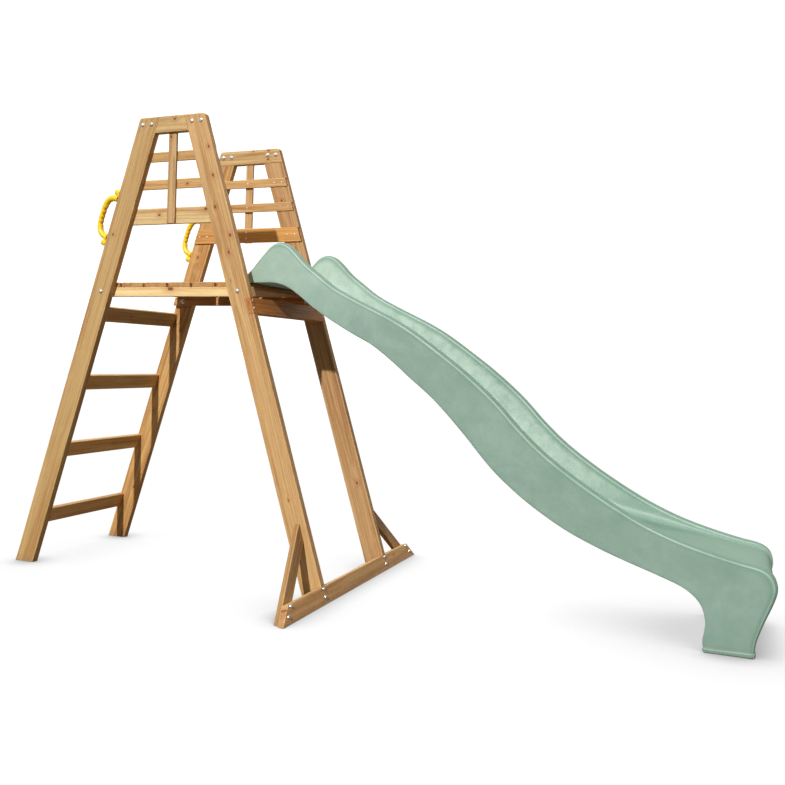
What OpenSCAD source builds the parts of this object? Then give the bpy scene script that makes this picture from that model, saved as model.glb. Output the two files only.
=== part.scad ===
// Wave slide: a timber A-frame climbing tower with a ladder, a small slatted
// deck and a moulded wave slide. Millimetres. +X runs down the slide, +Z is up,
// the ground is Z = 0, Y = 0 is the middle plane and X = 0 is the middle of the
// whole length. "near" is the -Y side, "far" the +Y side.

/* [Tower] */
// height of the A-frames above the ground
frame_h = 1850; // [1600:10:2100]
// half of the A-frame's width at the ground, to the outer edges of the legs
foot_half = 740; // [600:5:850]
// lean of each leg from the vertical, in degrees
lean = 17.6; // [14:0.1:21]
// width of the tower over the outer faces of the legs
tower_w = 620; // [500:10:800]
// height of the top of the deck
deck_h = 1190; // [900:10:1400]

/* [Timber] */
// width of the leg boards
leg_w = 90; // [70:1:120]
// thickness of the leg boards
leg_t = 30; // [20:1:45]
// width of the rung, header, guard rail, cross and base boards
board_w = 65; // [50:1:90]
// thickness of the rungs and the cross board
board_t = 20; // [15:1:28]
// thickness of the guard rails
guard_t = 15; // [10:1:24]
// width of the lattice slats and deck rails
slat_w = 38; // [25:1:50]
// thickness of the lattice slats and uprights
slat_t = 12; // [8:1:20]
// depth of the housings that take the slats and guard rails
housing = 7; // [3:0.5:12]
// distance the slats and guard rails stop short of the leg's edge
end_gap = 5; // [0:0.5:10]
// thickness of the deck rails
rail_t = 22; // [18:1:30]
// thickness of the board across the feet
base_t = 25; // [18:1:30]
// width of the two 45 degree braces at the feet
brace_w = 52; // [40:1:70]
// thickness of the braces
brace_t = 22; // [18:1:30]

/* [Ladder] */
// number of rungs
rung_n = 4; // [3:1:6]
// height of the top edge of the lowest rung
rung_z0 = 219; // [150:1:300]
// distance from one rung to the next
rung_pitch = 293; // [220:1:330]

/* [Deck] */
// number of deck boards
deck_n = 6; // [4:1:8]
// width of one deck board
deck_w = 102; // [80:1:120]
// thickness of one deck board
deck_t = 20; // [15:1:28]
// gap between deck boards
deck_gap = 12; // [4:1:20]
// distance from the tower's middle to the ladder-side edge of the deck
deck_back = 358; // [300:1:400]

/* [Side guards] */
// height of the middle of the upper lattice slat
slat_hi_z = 1694; // [1500:1:1800]
// height of the middle of the lower lattice slat
slat_lo_z = 1583; // [1400:1:1700]
// height of the bottom edge of the guard rail
guard_z = 1423; // [1300:1:1500]

/* [Slide] */
// width of the slide over its side walls
slide_w = 460; // [380:5:560]
// width of each moulded side wall, rim included
wall_w = 44; // [30:1:60]
// thickness of the moulded skin
skin = 5; // [3:0.5:8]
// rise of the crown along the top of each side wall
crown = 10; // [0:1:16]
// thickness of the flat lip that is bolted to the deck
lip_t = 10; // [6:1:15]

/* [Handles] */
// diameter of the grab handle's tube
grip_d = 26; // [20:1:35]
// distance between the feet of a grab handle, along the leg
grip_span = 164; // [120:1:240]
// distance from the leg to the middle of the grip
grip_out = 64; // [45:1:90]
// distance along the leg, from the ground to the middle of the handle
grip_s = 1522; // [1200:1:1700]

/* [Hardware] */
// shank diameter of the frame bolts
bolt_d = 8; // [6:1:10]
// head diameter of the frame bolts
bolt_head = 17; // [12:1:22]
// shank diameter of the small screws
screw_d = 4; // [3:0.5:5]
// head diameter of the small screws
screw_head = 7.5; // [6:0.5:10]

/* [Hidden] */
near = -1;
far = 1;
ladder_end = -1;
slide_end = 1;
sides = [near, far];

clearance = 0.05;                         // gap round every shank
over = 1;                                 // how far a cut overruns a face
face_over = 5;                            // the same, out of the slide-side leaning face
tip_x = 2253;                             // slide's furthest point, from the tower's middle
x_off = (tip_x - foot_half) / 2;          // tower's middle to the middle of the whole

tan_lean = tan(lean);
leg_x = leg_w / cos(lean);                // leg width measured along X
y_out = tower_w / 2;                      // outer face of the legs
y_in = y_out - leg_t;                     // inner face of the legs
y_leg = y_out - leg_t / 2;                // middle of the legs' thickness
y_rail = y_in - rail_t / 2;               // middle of the deck rails' thickness
lap = leg_t / 2;                          // header tongues and legs share the thickness
y_lap = y_in + lap;
y_house = y_in + housing;                 // floor of the slat housings
corner_cut = 9;                           // trim off the top outer corners of the A-frames

header_z = frame_h - board_w;
header_bolt_z = frame_h - 29;
header_bolt_in = [24, 66];                // in from the leg's outer edge, along X
guard_mid_z = guard_z + board_w / 2;
slat_screw_in = [26, 66];
upright_guard_z = [guard_z + 18, guard_z + board_w - 18]; // upright to guard rail screws
slat_hole = 16;                           // depth from the legs' inner face

rail_top = deck_h - deck_t;
rail_z = rail_top - slat_w / 2;
deck_bolts = [-326, 326];
deck_screw_in = 24;                       // in from each edge of a deck board
deck_hole = 22;                           // depth of the screw holes in the deck rails

// places along a leaning face are measured up the leg, from the ground
cross_s = (deck_h - 62) / cos(lean);      // top edge of the cross board
cross_screw_s = [cross_s - 12, cross_s - 42];
cross_hole = 25;                          // depth in the legs
base_end = 320;                           // overhang of the base board at the ground
base_half = y_out + base_end;
base_screw_s = [26, 56];
base_screw_d = 6;
base_hole = 40;                           // depth in the legs
brace_top = 314;

rung_dowel_d = 10;
rung_dowel_k = [0.28, 0.72];              // shares of the rung's width, from its top
rung_hole = 25;                           // dowel hole depth in the rung's ends
rung_leg_hole = 20;                       // dowel hole depth in the legs
dowel_gap = 1;                            // space past each end of a rung dowel
brace_dowel_d = 8;
brace_dowel_l = 38;
brace_hole_l = 40.1;

long_screw_d = 5;                         // screws of the grab handles and the slide
handle_hole = 36;                         // depth in the legs
slide_screw_x = 274;
slide_screw_y = [-150, -50, 50, 150];
slide_hole = 16.5;                        // depth in the last deck board

pine = [0.79, 0.59, 0.36];
sage = [0.56, 0.68, 0.61];
yellow = [0.93, 0.80, 0.10];
zinc = [0.74, 0.75, 0.77];
beech = [0.82, 0.67, 0.48];

// ---------- helpers ----------

// outer edge of a leg at height z, measured from the tower's middle
function edge_x(z) = foot_half - z * tan_lean;

// places in from the legs' outer edges at height z
function inset_x(z, insets, ends = [ladder_end, slide_end]) =
  [for (end = ends) for (inset = insets) end * (edge_x(z) - inset)];

// hole diameter for a shank
function loose(d) = d + 2 * clearance;

// closed outline from its positive half, listed upwards
function mirrored(half) =
  concat(half, [for (i = [len(half) - 1 : -1 : 0]) [-half[i][0], half[i][1]]]);

// moves a shape drawn round the tower's middle into the frame of the whole
module tower() translate([-x_off, 0, 0]) children();

// an XZ outline between the distances y0 and y1 from the middle plane, on one side
module side_plate(points, side, y0, y1)
  translate([0, side < 0 ? -y0 : y1, 0])
    rotate([90, 0, 0]) linear_extrude(y1 - y0) polygon(points);

// a hole or shank along Y, placed in the same way
module side_pin(x, z, d, side, y0, y1)
  translate([x, side < 0 ? -y1 : y0, z])
    rotate([-90, 0, 0]) cylinder(h = y1 - y0, d = d, $fn = 32);

// a hole along Y through the whole width of the tower
module through_hole(x, z, d) side_pin(x, z, loose(d), far, -y_out - over, y_out + over);

// a hole or shank along X
module x_pin(x0, x1, y, z, d)
  translate([x0, y, z]) rotate([0, 90, 0]) cylinder(h = x1 - x0, d = d, $fn = 24);

// a board trimmed at both ends parallel to the legs' outer edges, gap short of them
module trimmed(z0, z1, side, y0, y1, gap = 0)
  side_plate(mirrored([[edge_x(z0) - gap, z0], [edge_x(z1) - gap, z1]]), side, y0, y1);

// frame on the slide-side leaning face: local x outwards from the face, local y = Y,
// local z up along the leg, origin at the ground on the outer edge
module on_slide_face() translate([foot_half, 0, 0]) rotate([0, -lean, 0]) children();

// the same on the ladder side, local -x outwards
module on_ladder_face() translate([-foot_half, 0, 0]) rotate([0, lean, 0]) children();

// an outline of [y, along the leg] as a plate starting `back` behind the slide-side face
module lean_plate(points, back, t)
  translate([-back, 0, 0]) rotate([90, 0, 90]) linear_extrude(t) polygon(points);

// low dome on a bearing face at the origin, rising along +Z
module dome(d, h)
  rotate_extrude($fn = 32) polygon([[0, 0], [d * 0.5, 0], [d * 0.5, h * 0.22],
    [d * 0.46, h * 0.5], [d * 0.36, h * 0.78], [d * 0.2, h * 0.95], [0, h]]);

// small screw with its head at the origin and its shank running along -Z
module wood_screw(length) {
  dome(screw_head, 2);
  translate([0, 0, -length]) cylinder(h = length + 0.5, d = screw_d, $fn = 20);
}

// ---------- legs ----------

module leg(end, side)
  color(pine) tower() difference() {
    leg_board(end, side);
    for (x = inset_x(header_bolt_z, header_bolt_in, [end]))
      through_hole(x, header_bolt_z, bolt_d);
    through_hole(end * deck_bolts[1], rail_z, bolt_d);
    // blind holes of the lattice and guard rail screws, from the inner face
    for (z = [slat_hi_z, slat_lo_z, guard_mid_z]) for (x = inset_x(z, slat_screw_in, [end]))
      side_pin(x, z, loose(screw_d), side, y_in - over, y_in + slat_hole);
    header_lap(end, side);
    // housings for the slats and the guard rail: bottom edge and width
    for (q = [[slat_hi_z - slat_w / 2, slat_w], [slat_lo_z - slat_w / 2, slat_w],
        [guard_z, board_w]])
      translate([-foot_half, side < 0 ? -y_house : y_in - over, q[0]])
        cube([2 * foot_half, housing + over, q[1]]);
    if (end == ladder_end) ladder_leg_cuts(side);
    else slide_leg_cuts(side);
  }

module leg_board(end, side)
  side_plate([[end * edge_x(0), 0], [end * (edge_x(0) - leg_x), 0],
    [end * (edge_x(frame_h) - leg_x), frame_h],
    [end * (edge_x(frame_h) - corner_cut), frame_h],
    [end * edge_x(frame_h - corner_cut), frame_h - corner_cut]], side, y_in, y_out);

// half lap for the header, cut wider than the leg
module header_lap(end, side) {
  wide = [10, 20];                        // overrun at the bottom and at the top
  side_plate([[end * (edge_x(header_z) + wide[0]), header_z],
    [end * (edge_x(header_z) - leg_x - wide[0]), header_z],
    [end * (edge_x(frame_h) - leg_x - wide[1]), frame_h + over],
    [end * (edge_x(frame_h) + wide[1]), frame_h + over]], side, y_in - over, y_lap);
}

// dowel holes of the rungs and screw holes of the grab handle
module ladder_leg_cuts(side) {
  for (i = [0 : rung_n - 1])
    rung_pins(i, side, loose(rung_dowel_d), y_in - over, y_in + rung_leg_hole);
  on_ladder_face() for (s = [-1, 1])
    x_pin(-over, handle_hole, side * y_leg, grip_s + s * knob_off, loose(long_screw_d));
}

// housings and screw holes of the cross and base boards, dowel hole of the brace
module slide_leg_cuts(side) {
  cross_solid(face_over);
  base_solid(0, face_over);
  on_slide_face() {
    for (s = base_screw_s)
      x_pin(-base_t - base_hole, face_over, side * y_leg, s, loose(base_screw_d));
    for (s = cross_screw_s)
      x_pin(-board_t - cross_hole, face_over, side * y_leg, s, loose(screw_d));
  }
  brace_hole(side);
}

// ---------- side guards ----------

module header(side)
  color(pine) tower() difference() {
    union() {
      // full thickness between the legs
      side_plate(mirrored([[edge_x(header_z) - leg_x, header_z],
        [edge_x(frame_h) - leg_x, frame_h]]), side, y_in, y_out);
      // tongues behind the lapped ends of the legs
      side_plate(mirrored([[edge_x(header_z), header_z],
        [edge_x(frame_h - corner_cut), frame_h - corner_cut],
        [edge_x(frame_h) - corner_cut, frame_h]]), side, y_in, y_lap);
    }
    for (x = inset_x(header_bolt_z, header_bolt_in)) through_hole(x, header_bolt_z, bolt_d);
  }

module lattice_slat(z, side)
  color(pine) tower() difference() {
    trimmed(z - slat_w / 2, z + slat_w / 2, side, y_house - slat_t, y_house, end_gap);
    for (x = concat(inset_x(z, slat_screw_in), [0])) through_hole(x, z, screw_d);
  }

// upright on the outer faces of the slats and the guard rail
module lattice_upright(side)
  color(pine) tower() difference() {
    side_plate(mirrored([[slat_w / 2, guard_z], [slat_w / 2, header_z]]),
      side, y_house, y_house + slat_t);
    for (z = concat([slat_hi_z, slat_lo_z], upright_guard_z))
      side_pin(0, z, loose(screw_d), side, y_in - over, y_in + slat_hole);
  }

module guard_rail(side)
  color(pine) tower() difference() {
    trimmed(guard_z, guard_z + board_w, side, y_house - guard_t, y_house, end_gap);
    for (x = inset_x(guard_mid_z, slat_screw_in)) through_hole(x, guard_mid_z, screw_d);
    for (z = upright_guard_z) through_hole(0, z, screw_d);
  }

// ---------- deck ----------

function deck_x(i) = -deck_back + i * (deck_w + deck_gap);
function deck_screw_x(i) = [deck_x(i) + deck_screw_in, deck_x(i) + deck_w - deck_screw_in];

module deck_rail(side)
  color(pine) tower() difference() {
    trimmed(rail_top - slat_w, rail_top, side, y_in - rail_t, y_in);
    for (x = deck_bolts) through_hole(x, rail_z, bolt_d);
    for (i = [0 : deck_n - 1]) for (x = deck_screw_x(i))
      translate([x, side * y_rail, rail_top - deck_hole])
        cylinder(h = deck_hole + over, d = loose(screw_d), $fn = 20);
  }

module deck_board(i) {
  sink = 1.5;                             // depth of the recess for a screw head
  color(pine) tower() difference() {
    translate([deck_x(i), -y_in, rail_top]) cube([deck_w, 2 * y_in, deck_t]);
    for (side = sides) for (x = deck_screw_x(i))
      translate([x, side * y_rail, rail_top - over]) {
        cylinder(h = deck_t + 2 * over, d = loose(screw_d), $fn = 20);
        translate([0, 0, deck_t + over - sink - over])
          cylinder(h = 2 * sink, d = screw_head + 0.4, $fn = 24);
      }
    if (i == deck_n - 1) for (y = slide_screw_y)
      translate([slide_screw_x, y, deck_h - slide_hole])
        cylinder(h = slide_hole + 1.5, d = loose(long_screw_d), $fn = 24);
  }
}

// ---------- cross board, base board and braces ----------

// the cross board, carried on by `out` past the leaning face
module cross_solid(out) on_slide_face()
  translate([-board_t, -y_out, cross_s - board_w]) cube([board_t + out, tower_w, board_w]);

module cross_board()
  color(pine) tower() difference() {
    cross_solid(0);
    on_slide_face() for (side = sides) for (s = cross_screw_s)
      x_pin(-board_t - over, over, side * y_leg, s, loose(screw_d));
  }

// the base board with its 45 degree ends, carried on by `below` and `out`
module base_solid(below, out) on_slide_face()
  lean_plate(mirrored([[base_half + below, -below], [base_half - board_w, board_w]]),
    base_t, base_t + out);

// trims a leaning piece flat at the ground
module ground_cut() translate([-1000, -1500, -300]) cube([3000, 3000, 300]);

// screws near the ends of the base board follow its slope
function base_end_y(s) = base_half - s - 26;

module base_board()
  color(pine) tower() difference() {
    base_solid(10, 0);
    ground_cut();
    on_slide_face() for (side = sides) for (s = base_screw_s) for (y = [y_leg, base_end_y(s)])
      x_pin(-base_t - over, over, side * y, s, loose(base_screw_d));
  }

// brace in the leaning plane behind the base board
module base_brace(side) {
  low = brace_top - brace_w * sqrt(2);    // lower edge where it meets the leg
  below = 12;                             // carried on below the ground, then trimmed
  color(pine) tower() difference() {
    on_slide_face() lean_plate([[side * y_out, brace_top], [side * y_out, low],
      [side * (y_out + low + below), -below], [side * (y_out + brace_top + below), -below]],
      base_t + brace_t, brace_t);
    ground_cut();
    on_slide_face() for (s = base_screw_s)
      x_pin(-base_t - brace_t - over, -base_t + over, side * base_end_y(s), s,
        loose(base_screw_d));
    brace_hole(side);
  }
}

// the brace's dowel runs along Y through the joint with the leg
module at_brace_dowel(side) on_slide_face()
  translate([-base_t - brace_t / 2, side * (y_out - 2), brace_top - 38])
    rotate([90, 0, 0]) children();

module brace_hole(side) at_brace_dowel(side)
  cylinder(h = brace_hole_l, d = loose(brace_dowel_d), center = true, $fn = 24);

// ---------- ladder ----------

// local frame of rung i: origin on the top outer edge, x into the rung, z up the leg
module rung_at(i) {
  z = rung_z0 + i * rung_pitch;
  translate([-edge_x(z), 0, z]) rotate([0, lean, 0]) children();
}

// dowels or dowel holes at one end of rung i
module rung_pins(i, side, d, y0, y1) rung_at(i)
  for (k = rung_dowel_k) side_pin(board_t / 2, -board_w * k, d, side, y0, y1);

module rung(i)
  color(pine) tower() difference() {
    rung_at(i) translate([0, -y_in, -board_w]) cube([board_t, 2 * y_in, board_w]);
    for (side = sides) rung_pins(i, side, loose(rung_dowel_d), y_in - rung_hole, y_in + over);
  }

// ---------- grab handles ----------

knob_off = grip_span / 2 + 24;            // from the handle's middle, along the leg
knob_d = 25;
knob_l = 24;
knob_dome = 5;
knob_seat = 18;                           // screw head's seat, out from the leg
bend_r = 44;
pad_t = 6;
pad_w = 30;
pad_in = 16;                              // pad's reach from the foot to the handle's middle
pad_out = 36;                             // and away from it
ridge_d = 19;
ridge_pitch = 20;

module grab_handle(side) {
  outer = knob_l + knob_dome + over;
  color(yellow) tower() on_ladder_face()
    translate([0, side * y_leg, grip_s]) difference() {
      union() {
        // straight grip
        translate([-grip_out, 0, -grip_span / 2 + bend_r])
          cylinder(h = grip_span - 2 * bend_r, d = grip_d, $fn = 32);
        for (s = [-1, 1]) handle_foot(s);
        // finger ridges on the side towards the leg
        for (i = [-2 : 2])
          translate([-grip_out + 6, 0, i * ridge_pitch]) sphere(d = ridge_d, $fn = 24);
      }
      for (s = [-1, 1]) {
        x_pin(-outer, over, 0, s * knob_off, loose(long_screw_d));
        x_pin(-outer, -knob_seat, 0, s * knob_off, 11);
      }
    }
}

// bend, foot, pad and screw knob at the lower (-1) or upper (1) end
module handle_foot(s) {
  translate([-grip_out + bend_r, 0, s * (grip_span / 2 - bend_r)])
    rotate([90, 0, 0]) rotate([0, 0, s < 0 ? 180 : 90]) rotate_extrude(angle = 90, $fn = 48)
      translate([bend_r, 0]) circle(d = grip_d, $fn = 32);
  translate([-grip_out + bend_r, 0, s * grip_span / 2]) rotate([0, 90, 0])
    cylinder(h = grip_out - bend_r, d = grip_d, $fn = 32);
  translate([-pad_t, -pad_w / 2, s * grip_span / 2 - (s < 0 ? pad_out : pad_in)])
    cube([pad_t, pad_w, pad_in + pad_out]);
  translate([-knob_l, 0, s * knob_off]) {
    rotate([0, 90, 0]) cylinder(h = knob_l, d = knob_d, $fn = 32);
    rotate([0, -90, 0]) dome(knob_d, knob_dome);
  }
}

// ---------- slide ----------

// smooth curve through rows of numbers, `steps` points to each span
function catmull_rom(a, b, c, d, t) = 0.5 * (2 * b + (c - a) * t
  + (2 * a - 5 * b + 4 * c - d) * t * t + (3 * b - a - 3 * c + d) * t * t * t);
function spline(points, steps) = let (last = len(points) - 1) concat(
  [for (i = [0 : last - 1]) for (k = [0 : steps - 1])
    catmull_rom(points[max(i - 1, 0)], points[i], points[i + 1], points[min(i + 2, last)],
      k / steps)],
  [points[last]]);
function unit(v) = v / max(norm(v), 1e-6);

// sections of the moulding from the deck to the foot. Each row is [top edge x, z,
// sliding surface x, z, lower edge x, z, share of the crown, share of the lip's extra]
stations = [
  [252, 1200.6, 252, 1200, 252, 1190, 0, 1],
  [298, 1201, 298, 1200, 298, 1190, 0, 1],
  [320, 1222, 314, 1200, 308, 1190, 0.3, 0.5],
  [350, 1251, 337, 1200, 332, 1190, 0.7, 0],
  [385, 1293, 364, 1200, 360, 1190, 1, 0],
  [420, 1327, 396, 1200, 393, 1190, 1, 0],
  [458, 1337, 428, 1199, 430, 1190, 1, 0],
  [492, 1326, 464, 1194, 466, 1184, 1, 0],
  [525, 1298, 503, 1181, 503, 1170, 1, 0],
  [566, 1257, 550, 1152, 550, 1140, 1, 0],
  [623, 1213, 610, 1110, 610, 1095, 1, 0],
  [692, 1164, 685, 1061, 685, 1048, 1, 0],
  [775, 1121, 772, 1014, 772, 1000, 1, 0],
  [859, 1082, 857, 973, 857, 957, 1, 0],
  [935, 1046, 931, 930, 931, 905, 1, 0],
  [1011, 1003, 1011, 880, 1011, 841, 1, 0],
  [1110, 936, 1110, 805, 1110, 761, 1, 0],
  [1215, 859, 1215, 718, 1215, 655, 1, 0],
  [1323, 767, 1323, 622, 1320, 539, 1, 0],
  [1415, 672, 1412, 536, 1407, 463, 1, 0],
  [1500, 595, 1500, 461, 1490, 404, 1, 0],
  [1600, 522, 1600, 398, 1588, 346, 1, 0],
  [1710, 453, 1705, 358, 1695, 298, 1, 0],
  [1820, 393, 1812, 335, 1795, 261, 1, 0],
  [1930, 346, 1925, 317, 1890, 229, 1, 0],
  [2040, 312, 2040, 298, 1975, 196, 1, 0],
  [2140, 290, 2140, 281, 2024, 154, 0.8, 0],
  [2200, 281, 2196, 271, 2042, 103, 0.6, 0],
  [2233, 266, 2228, 257, 2040, 66, 0.4, 0],
  [2250, 239, 2244, 234, 2037, 46, 0.2, 0],
  [2251.3, 210, 2245.5, 207, 2036, 36, 0.1, 0],
  [2240, 172, 2234, 172, 2036, 28, 0.1, 0],
  [2215, 110, 2209, 110, 2036, 20, 0.1, 0],
  [2196, 55, 2190, 55, 2037, 14, 0.1, 0],
  [2190, 13, 2184, 13, 2039, 9, 0.1, 0],
  [2189, 0, 2183, 0, 2044, 0, 0.1, 0]];
rows = spline(stations, 2);
row_n = len(rows);
slide_half = slide_w / 2;
lip_extra = 3;                            // added to the skin at the lip
full_wall = 50;                           // walls lower than this shrink their rounding

// half profile, from the lower edge over the crowned rim to the middle of the chute.
// Each row is [distance in from the side, edge it follows, amount, depth, inset].
// Edge 0 is the lower one, 1 the top one: amount is a share of the crown or, below 0,
// tens of mm down. Edge 2 is the chute: amount is mm up the wall. Depth and inset place
// the inner side of the skin, below the surface and towards the middle plane, as shares
// of the skin.
profile = [
  [0, 0, 0, 0, 1],
  [0, 1, -0.3, 1, 1],
  [2, 1, 0.12, 1, 0.9],
  [6.5, 1, 0.5, 1, 0.7],
  [13, 1, 0.85, 1, 0.4],
  [wall_w / 2, 1, 1, 1, 0],
  [wall_w - 13, 1, 0.85, 1, -0.4],
  [wall_w - 6.5, 1, 0.5, 1, -0.7],
  [wall_w - 2, 1, 0.12, 1, -0.9],
  [wall_w, 1, -0.3, 1, -1],
  [wall_w, 2, 36, 0.4, -1],
  [wall_w + 6.5, 2, 20, 0.65, -0.9],
  [wall_w + 14, 2, 10.5, 0.87, -0.7],
  [wall_w + 23, 2, 4, 0.97, -0.4],
  [wall_w + 36, 2, 0, 1, -0.1]];

// unit normal at row i of the curve held in columns k and k + 1
function normal_at(i, k) = i == 0 ? [0, 1] : i == row_n - 1 ? [1, 0] :
  let (a = rows[i - 1], b = rows[i + 1], along = unit([b[k] - a[k], b[k + 1] - a[k + 1]]))
    [-along[1], along[0]];

// point j of half profile i, inner = 1 for the inner side of the skin
function skin_point(i, j, inner, side) =
  let (row = rows[i], q = profile[j], edge = q[1], amount = q[2],
    top = [row[0], row[1]], chute = [row[2], row[3]], low = [row[4], row[5]],
    wall_h = norm(top - chute), shrink = min(1, wall_h / full_wall),
    t = (skin + lip_extra * row[7]) * q[3] * inner,
    rise = amount < 0 ? amount * 10 * shrink : amount * crown * row[6],
    p = edge == 0 ? low
      : edge == 1 ? top + normal_at(i, 0) * (rise - t)
      : chute + (top - chute) * (amount / max(wall_h, full_wall)) - normal_at(i, 2) * t,
    y = slide_half - q[0] - inner * skin * q[4])
  [p[0], side * y, p[1]];

// closed loop of one section: near to far on the surface, back on the inner side
prof_n = len(profile);
loop_n = 4 * prof_n;
function half_out(i, inner, side) = [for (j = [0 : prof_n - 1]) skin_point(i, j, inner, side)];
function half_back(i, inner, side) =
  [for (j = [prof_n - 1 : -1 : 0]) skin_point(i, j, inner, side)];
function section(i) = concat(half_out(i, 0, near), half_back(i, 0, far),
  half_out(i, 1, far), half_back(i, 1, near));

// two triangles, split from a to c
function quad(a, b, c, d) = [[a, b, c], [a, c, d]];

slide_points = [for (i = [0 : row_n - 1]) for (p = section(i)) p];
last_loop = (row_n - 1) * loop_n;
slide_faces = concat(
  [for (i = [0 : row_n - 2]) for (j = [0 : loop_n - 1])
    let (a = i * loop_n + j, b = i * loop_n + (j + 1) % loop_n)
      for (face = quad(a, b, b + loop_n, a + loop_n)) face],
  // end caps
  [for (j = [0 : 2 * prof_n - 2]) let (c = loop_n - 1 - j)
    for (face = quad(j + 1, j, c, c - 1)) face],
  [for (j = [0 : 2 * prof_n - 2]) let (a = last_loop + j, c = last_loop + loop_n - 1 - j)
    for (face = quad(a + 1, c - 1, c, a)) face]);

module slide_moulding()
  color(sage) tower() difference() {
    polyhedron(slide_points, slide_faces, convexity = 8);
    // holes for the screws that hold the lip to the deck
    for (y = slide_screw_y) translate([slide_screw_x, y, deck_h - over])
      cylinder(h = lip_t + 2 * over, d = loose(long_screw_d), $fn = 24);
  }

// ---------- hardware ----------

nut_h = 9;
bolt_end = 6;                             // bolt's reach past the timber, into the nut
root = 0.5;                               // shank's overlap into its head

// bolts with their heads on the outer faces, through `grip` of timber
module bolt_set(xs, z, grip)
  color(zinc) tower() for (side = sides) for (x = xs) {
    translate([x, side * y_out, z]) rotate([-90 * side, 0, 0]) dome(bolt_head, 5.5);
    side_pin(x, z, bolt_d, side, y_out - grip - bolt_end, y_out + root);
  }

module nut_set(xs, z, grip)
  color(zinc) tower() for (side = sides) for (x = xs)
    translate([x, side * (y_out - grip), z]) rotate([90 * side, 0, 0]) difference() {
      dome(bolt_head, nut_h);
      translate([0, 0, -over])
        cylinder(h = bolt_end + over + 0.2, d = loose(bolt_d), $fn = 32);
    }

module header_bolts() bolt_set(inset_x(header_bolt_z, header_bolt_in), header_bolt_z, leg_t);
module header_nuts() nut_set(inset_x(header_bolt_z, header_bolt_in), header_bolt_z, leg_t);
module deck_rail_bolts() bolt_set(deck_bolts, rail_z, leg_t + rail_t);
module deck_rail_nuts() nut_set(deck_bolts, rail_z, leg_t + rail_t);

// coach screws through the base board into the legs and braces
module base_screws()
  color(zinc) tower() on_slide_face() for (side = sides) for (s = base_screw_s) {
    coach_screw(side * y_leg, s, base_t + 34);
    coach_screw(side * base_end_y(s), s, base_t + brace_t - 1);
  }

module coach_screw(y, s, length) {
  translate([0, y, s]) rotate([0, 90, 0]) dome(14, 4.5);
  x_pin(-length, root, y, s, base_screw_d);
}

module cross_board_screws()
  color(zinc) tower() on_slide_face() for (side = sides) for (s = cross_screw_s)
    translate([0, side * y_leg, s]) rotate([0, 90, 0]) wood_screw(board_t + 22);

module lattice_screws()
  color(zinc) tower() for (side = sides) {
    for (z = [slat_hi_z, slat_lo_z]) for (x = concat(inset_x(z, slat_screw_in), [0]))
      lattice_screw(x, z, side, slat_t);
    for (x = inset_x(guard_mid_z, slat_screw_in)) lattice_screw(x, guard_mid_z, side, guard_t);
    for (z = upright_guard_z) lattice_screw(0, z, side, guard_t);
  }

// screw outwards from the inner face of a board t thick
module lattice_screw(x, z, side, t)
  translate([x, side * (y_house - t), z]) rotate([90 * side, 0, 0]) wood_screw(20);

module deck_screws() {
  head_h = 1.4;
  color(zinc) tower() for (i = [0 : deck_n - 1]) for (side = sides) for (x = deck_screw_x(i))
    translate([x, side * y_rail, deck_h]) {
      translate([0, 0, -head_h]) cylinder(h = head_h, d = screw_head, $fn = 24);
      translate([0, 0, -38]) cylinder(h = 37, d = screw_d, $fn = 20);
    }
}

module rung_dowels()
  color(beech) tower() for (i = [0 : rung_n - 1]) for (side = sides)
    rung_pins(i, side, rung_dowel_d,
      y_in - rung_hole + dowel_gap, y_in + rung_leg_hole - dowel_gap);

module brace_dowels()
  color(beech) tower() for (side = sides) at_brace_dowel(side)
    cylinder(h = brace_dowel_l, d = brace_dowel_d, center = true, $fn = 24);

module handle_screws()
  color(zinc) tower() on_ladder_face() for (side = sides) for (s = [-1, 1])
    translate([0, side * y_leg, grip_s + s * knob_off]) {
      translate([-knob_seat, 0, 0]) rotate([0, -90, 0]) dome(10, 4);
      x_pin(-knob_seat - root, handle_hole - 1.5, 0, 0, long_screw_d);
    }

// each with a washer on the lip
module slide_screws() {
  washer_t = 1.5;
  length = 26;
  color(zinc) tower() for (y = slide_screw_y)
    translate([slide_screw_x, y, deck_h + lip_t]) {
      cylinder(h = washer_t, d = 18, $fn = 32);
      translate([0, 0, washer_t]) dome(12, 3.5);
      translate([0, 0, -length]) cylinder(h = length + root, d = long_screw_d, $fn = 24);
    }
}

// ---------- nodes ----------

leg(ladder_end, near);  // leg_ladder_near
leg(ladder_end, far);  // leg_ladder_far
leg(slide_end, near);  // leg_slide_near
leg(slide_end, far);  // leg_slide_far
header(near);  // header_near
header(far);  // header_far
lattice_slat(slat_hi_z, near);  // lattice_slat_upper_near
lattice_slat(slat_hi_z, far);  // lattice_slat_upper_far
lattice_slat(slat_lo_z, near);  // lattice_slat_lower_near
lattice_slat(slat_lo_z, far);  // lattice_slat_lower_far
lattice_upright(near);  // lattice_upright_near
lattice_upright(far);  // lattice_upright_far
guard_rail(near);  // guard_rail_near
guard_rail(far);  // guard_rail_far
deck_rail(near);  // deck_rail_near
deck_rail(far);  // deck_rail_far
deck_board(0);  // deck_board_1
deck_board(1);  // deck_board_2
deck_board(2);  // deck_board_3
deck_board(3);  // deck_board_4
deck_board(4);  // deck_board_5
deck_board(5);  // deck_board_6
cross_board();
rung(0);  // rung_1
rung(1);  // rung_2
rung(2);  // rung_3
rung(3);  // rung_4
base_board();
base_brace(near);  // base_brace_near
base_brace(far);  // base_brace_far
grab_handle(near);  // grab_handle_near
grab_handle(far);  // grab_handle_far
slide_moulding();
header_bolts();
header_nuts();
deck_rail_bolts();
deck_rail_nuts();
base_screws();
cross_board_screws();
lattice_screws();
deck_screws();
rung_dowels();
brace_dowels();
handle_screws();
slide_screws();
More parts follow.
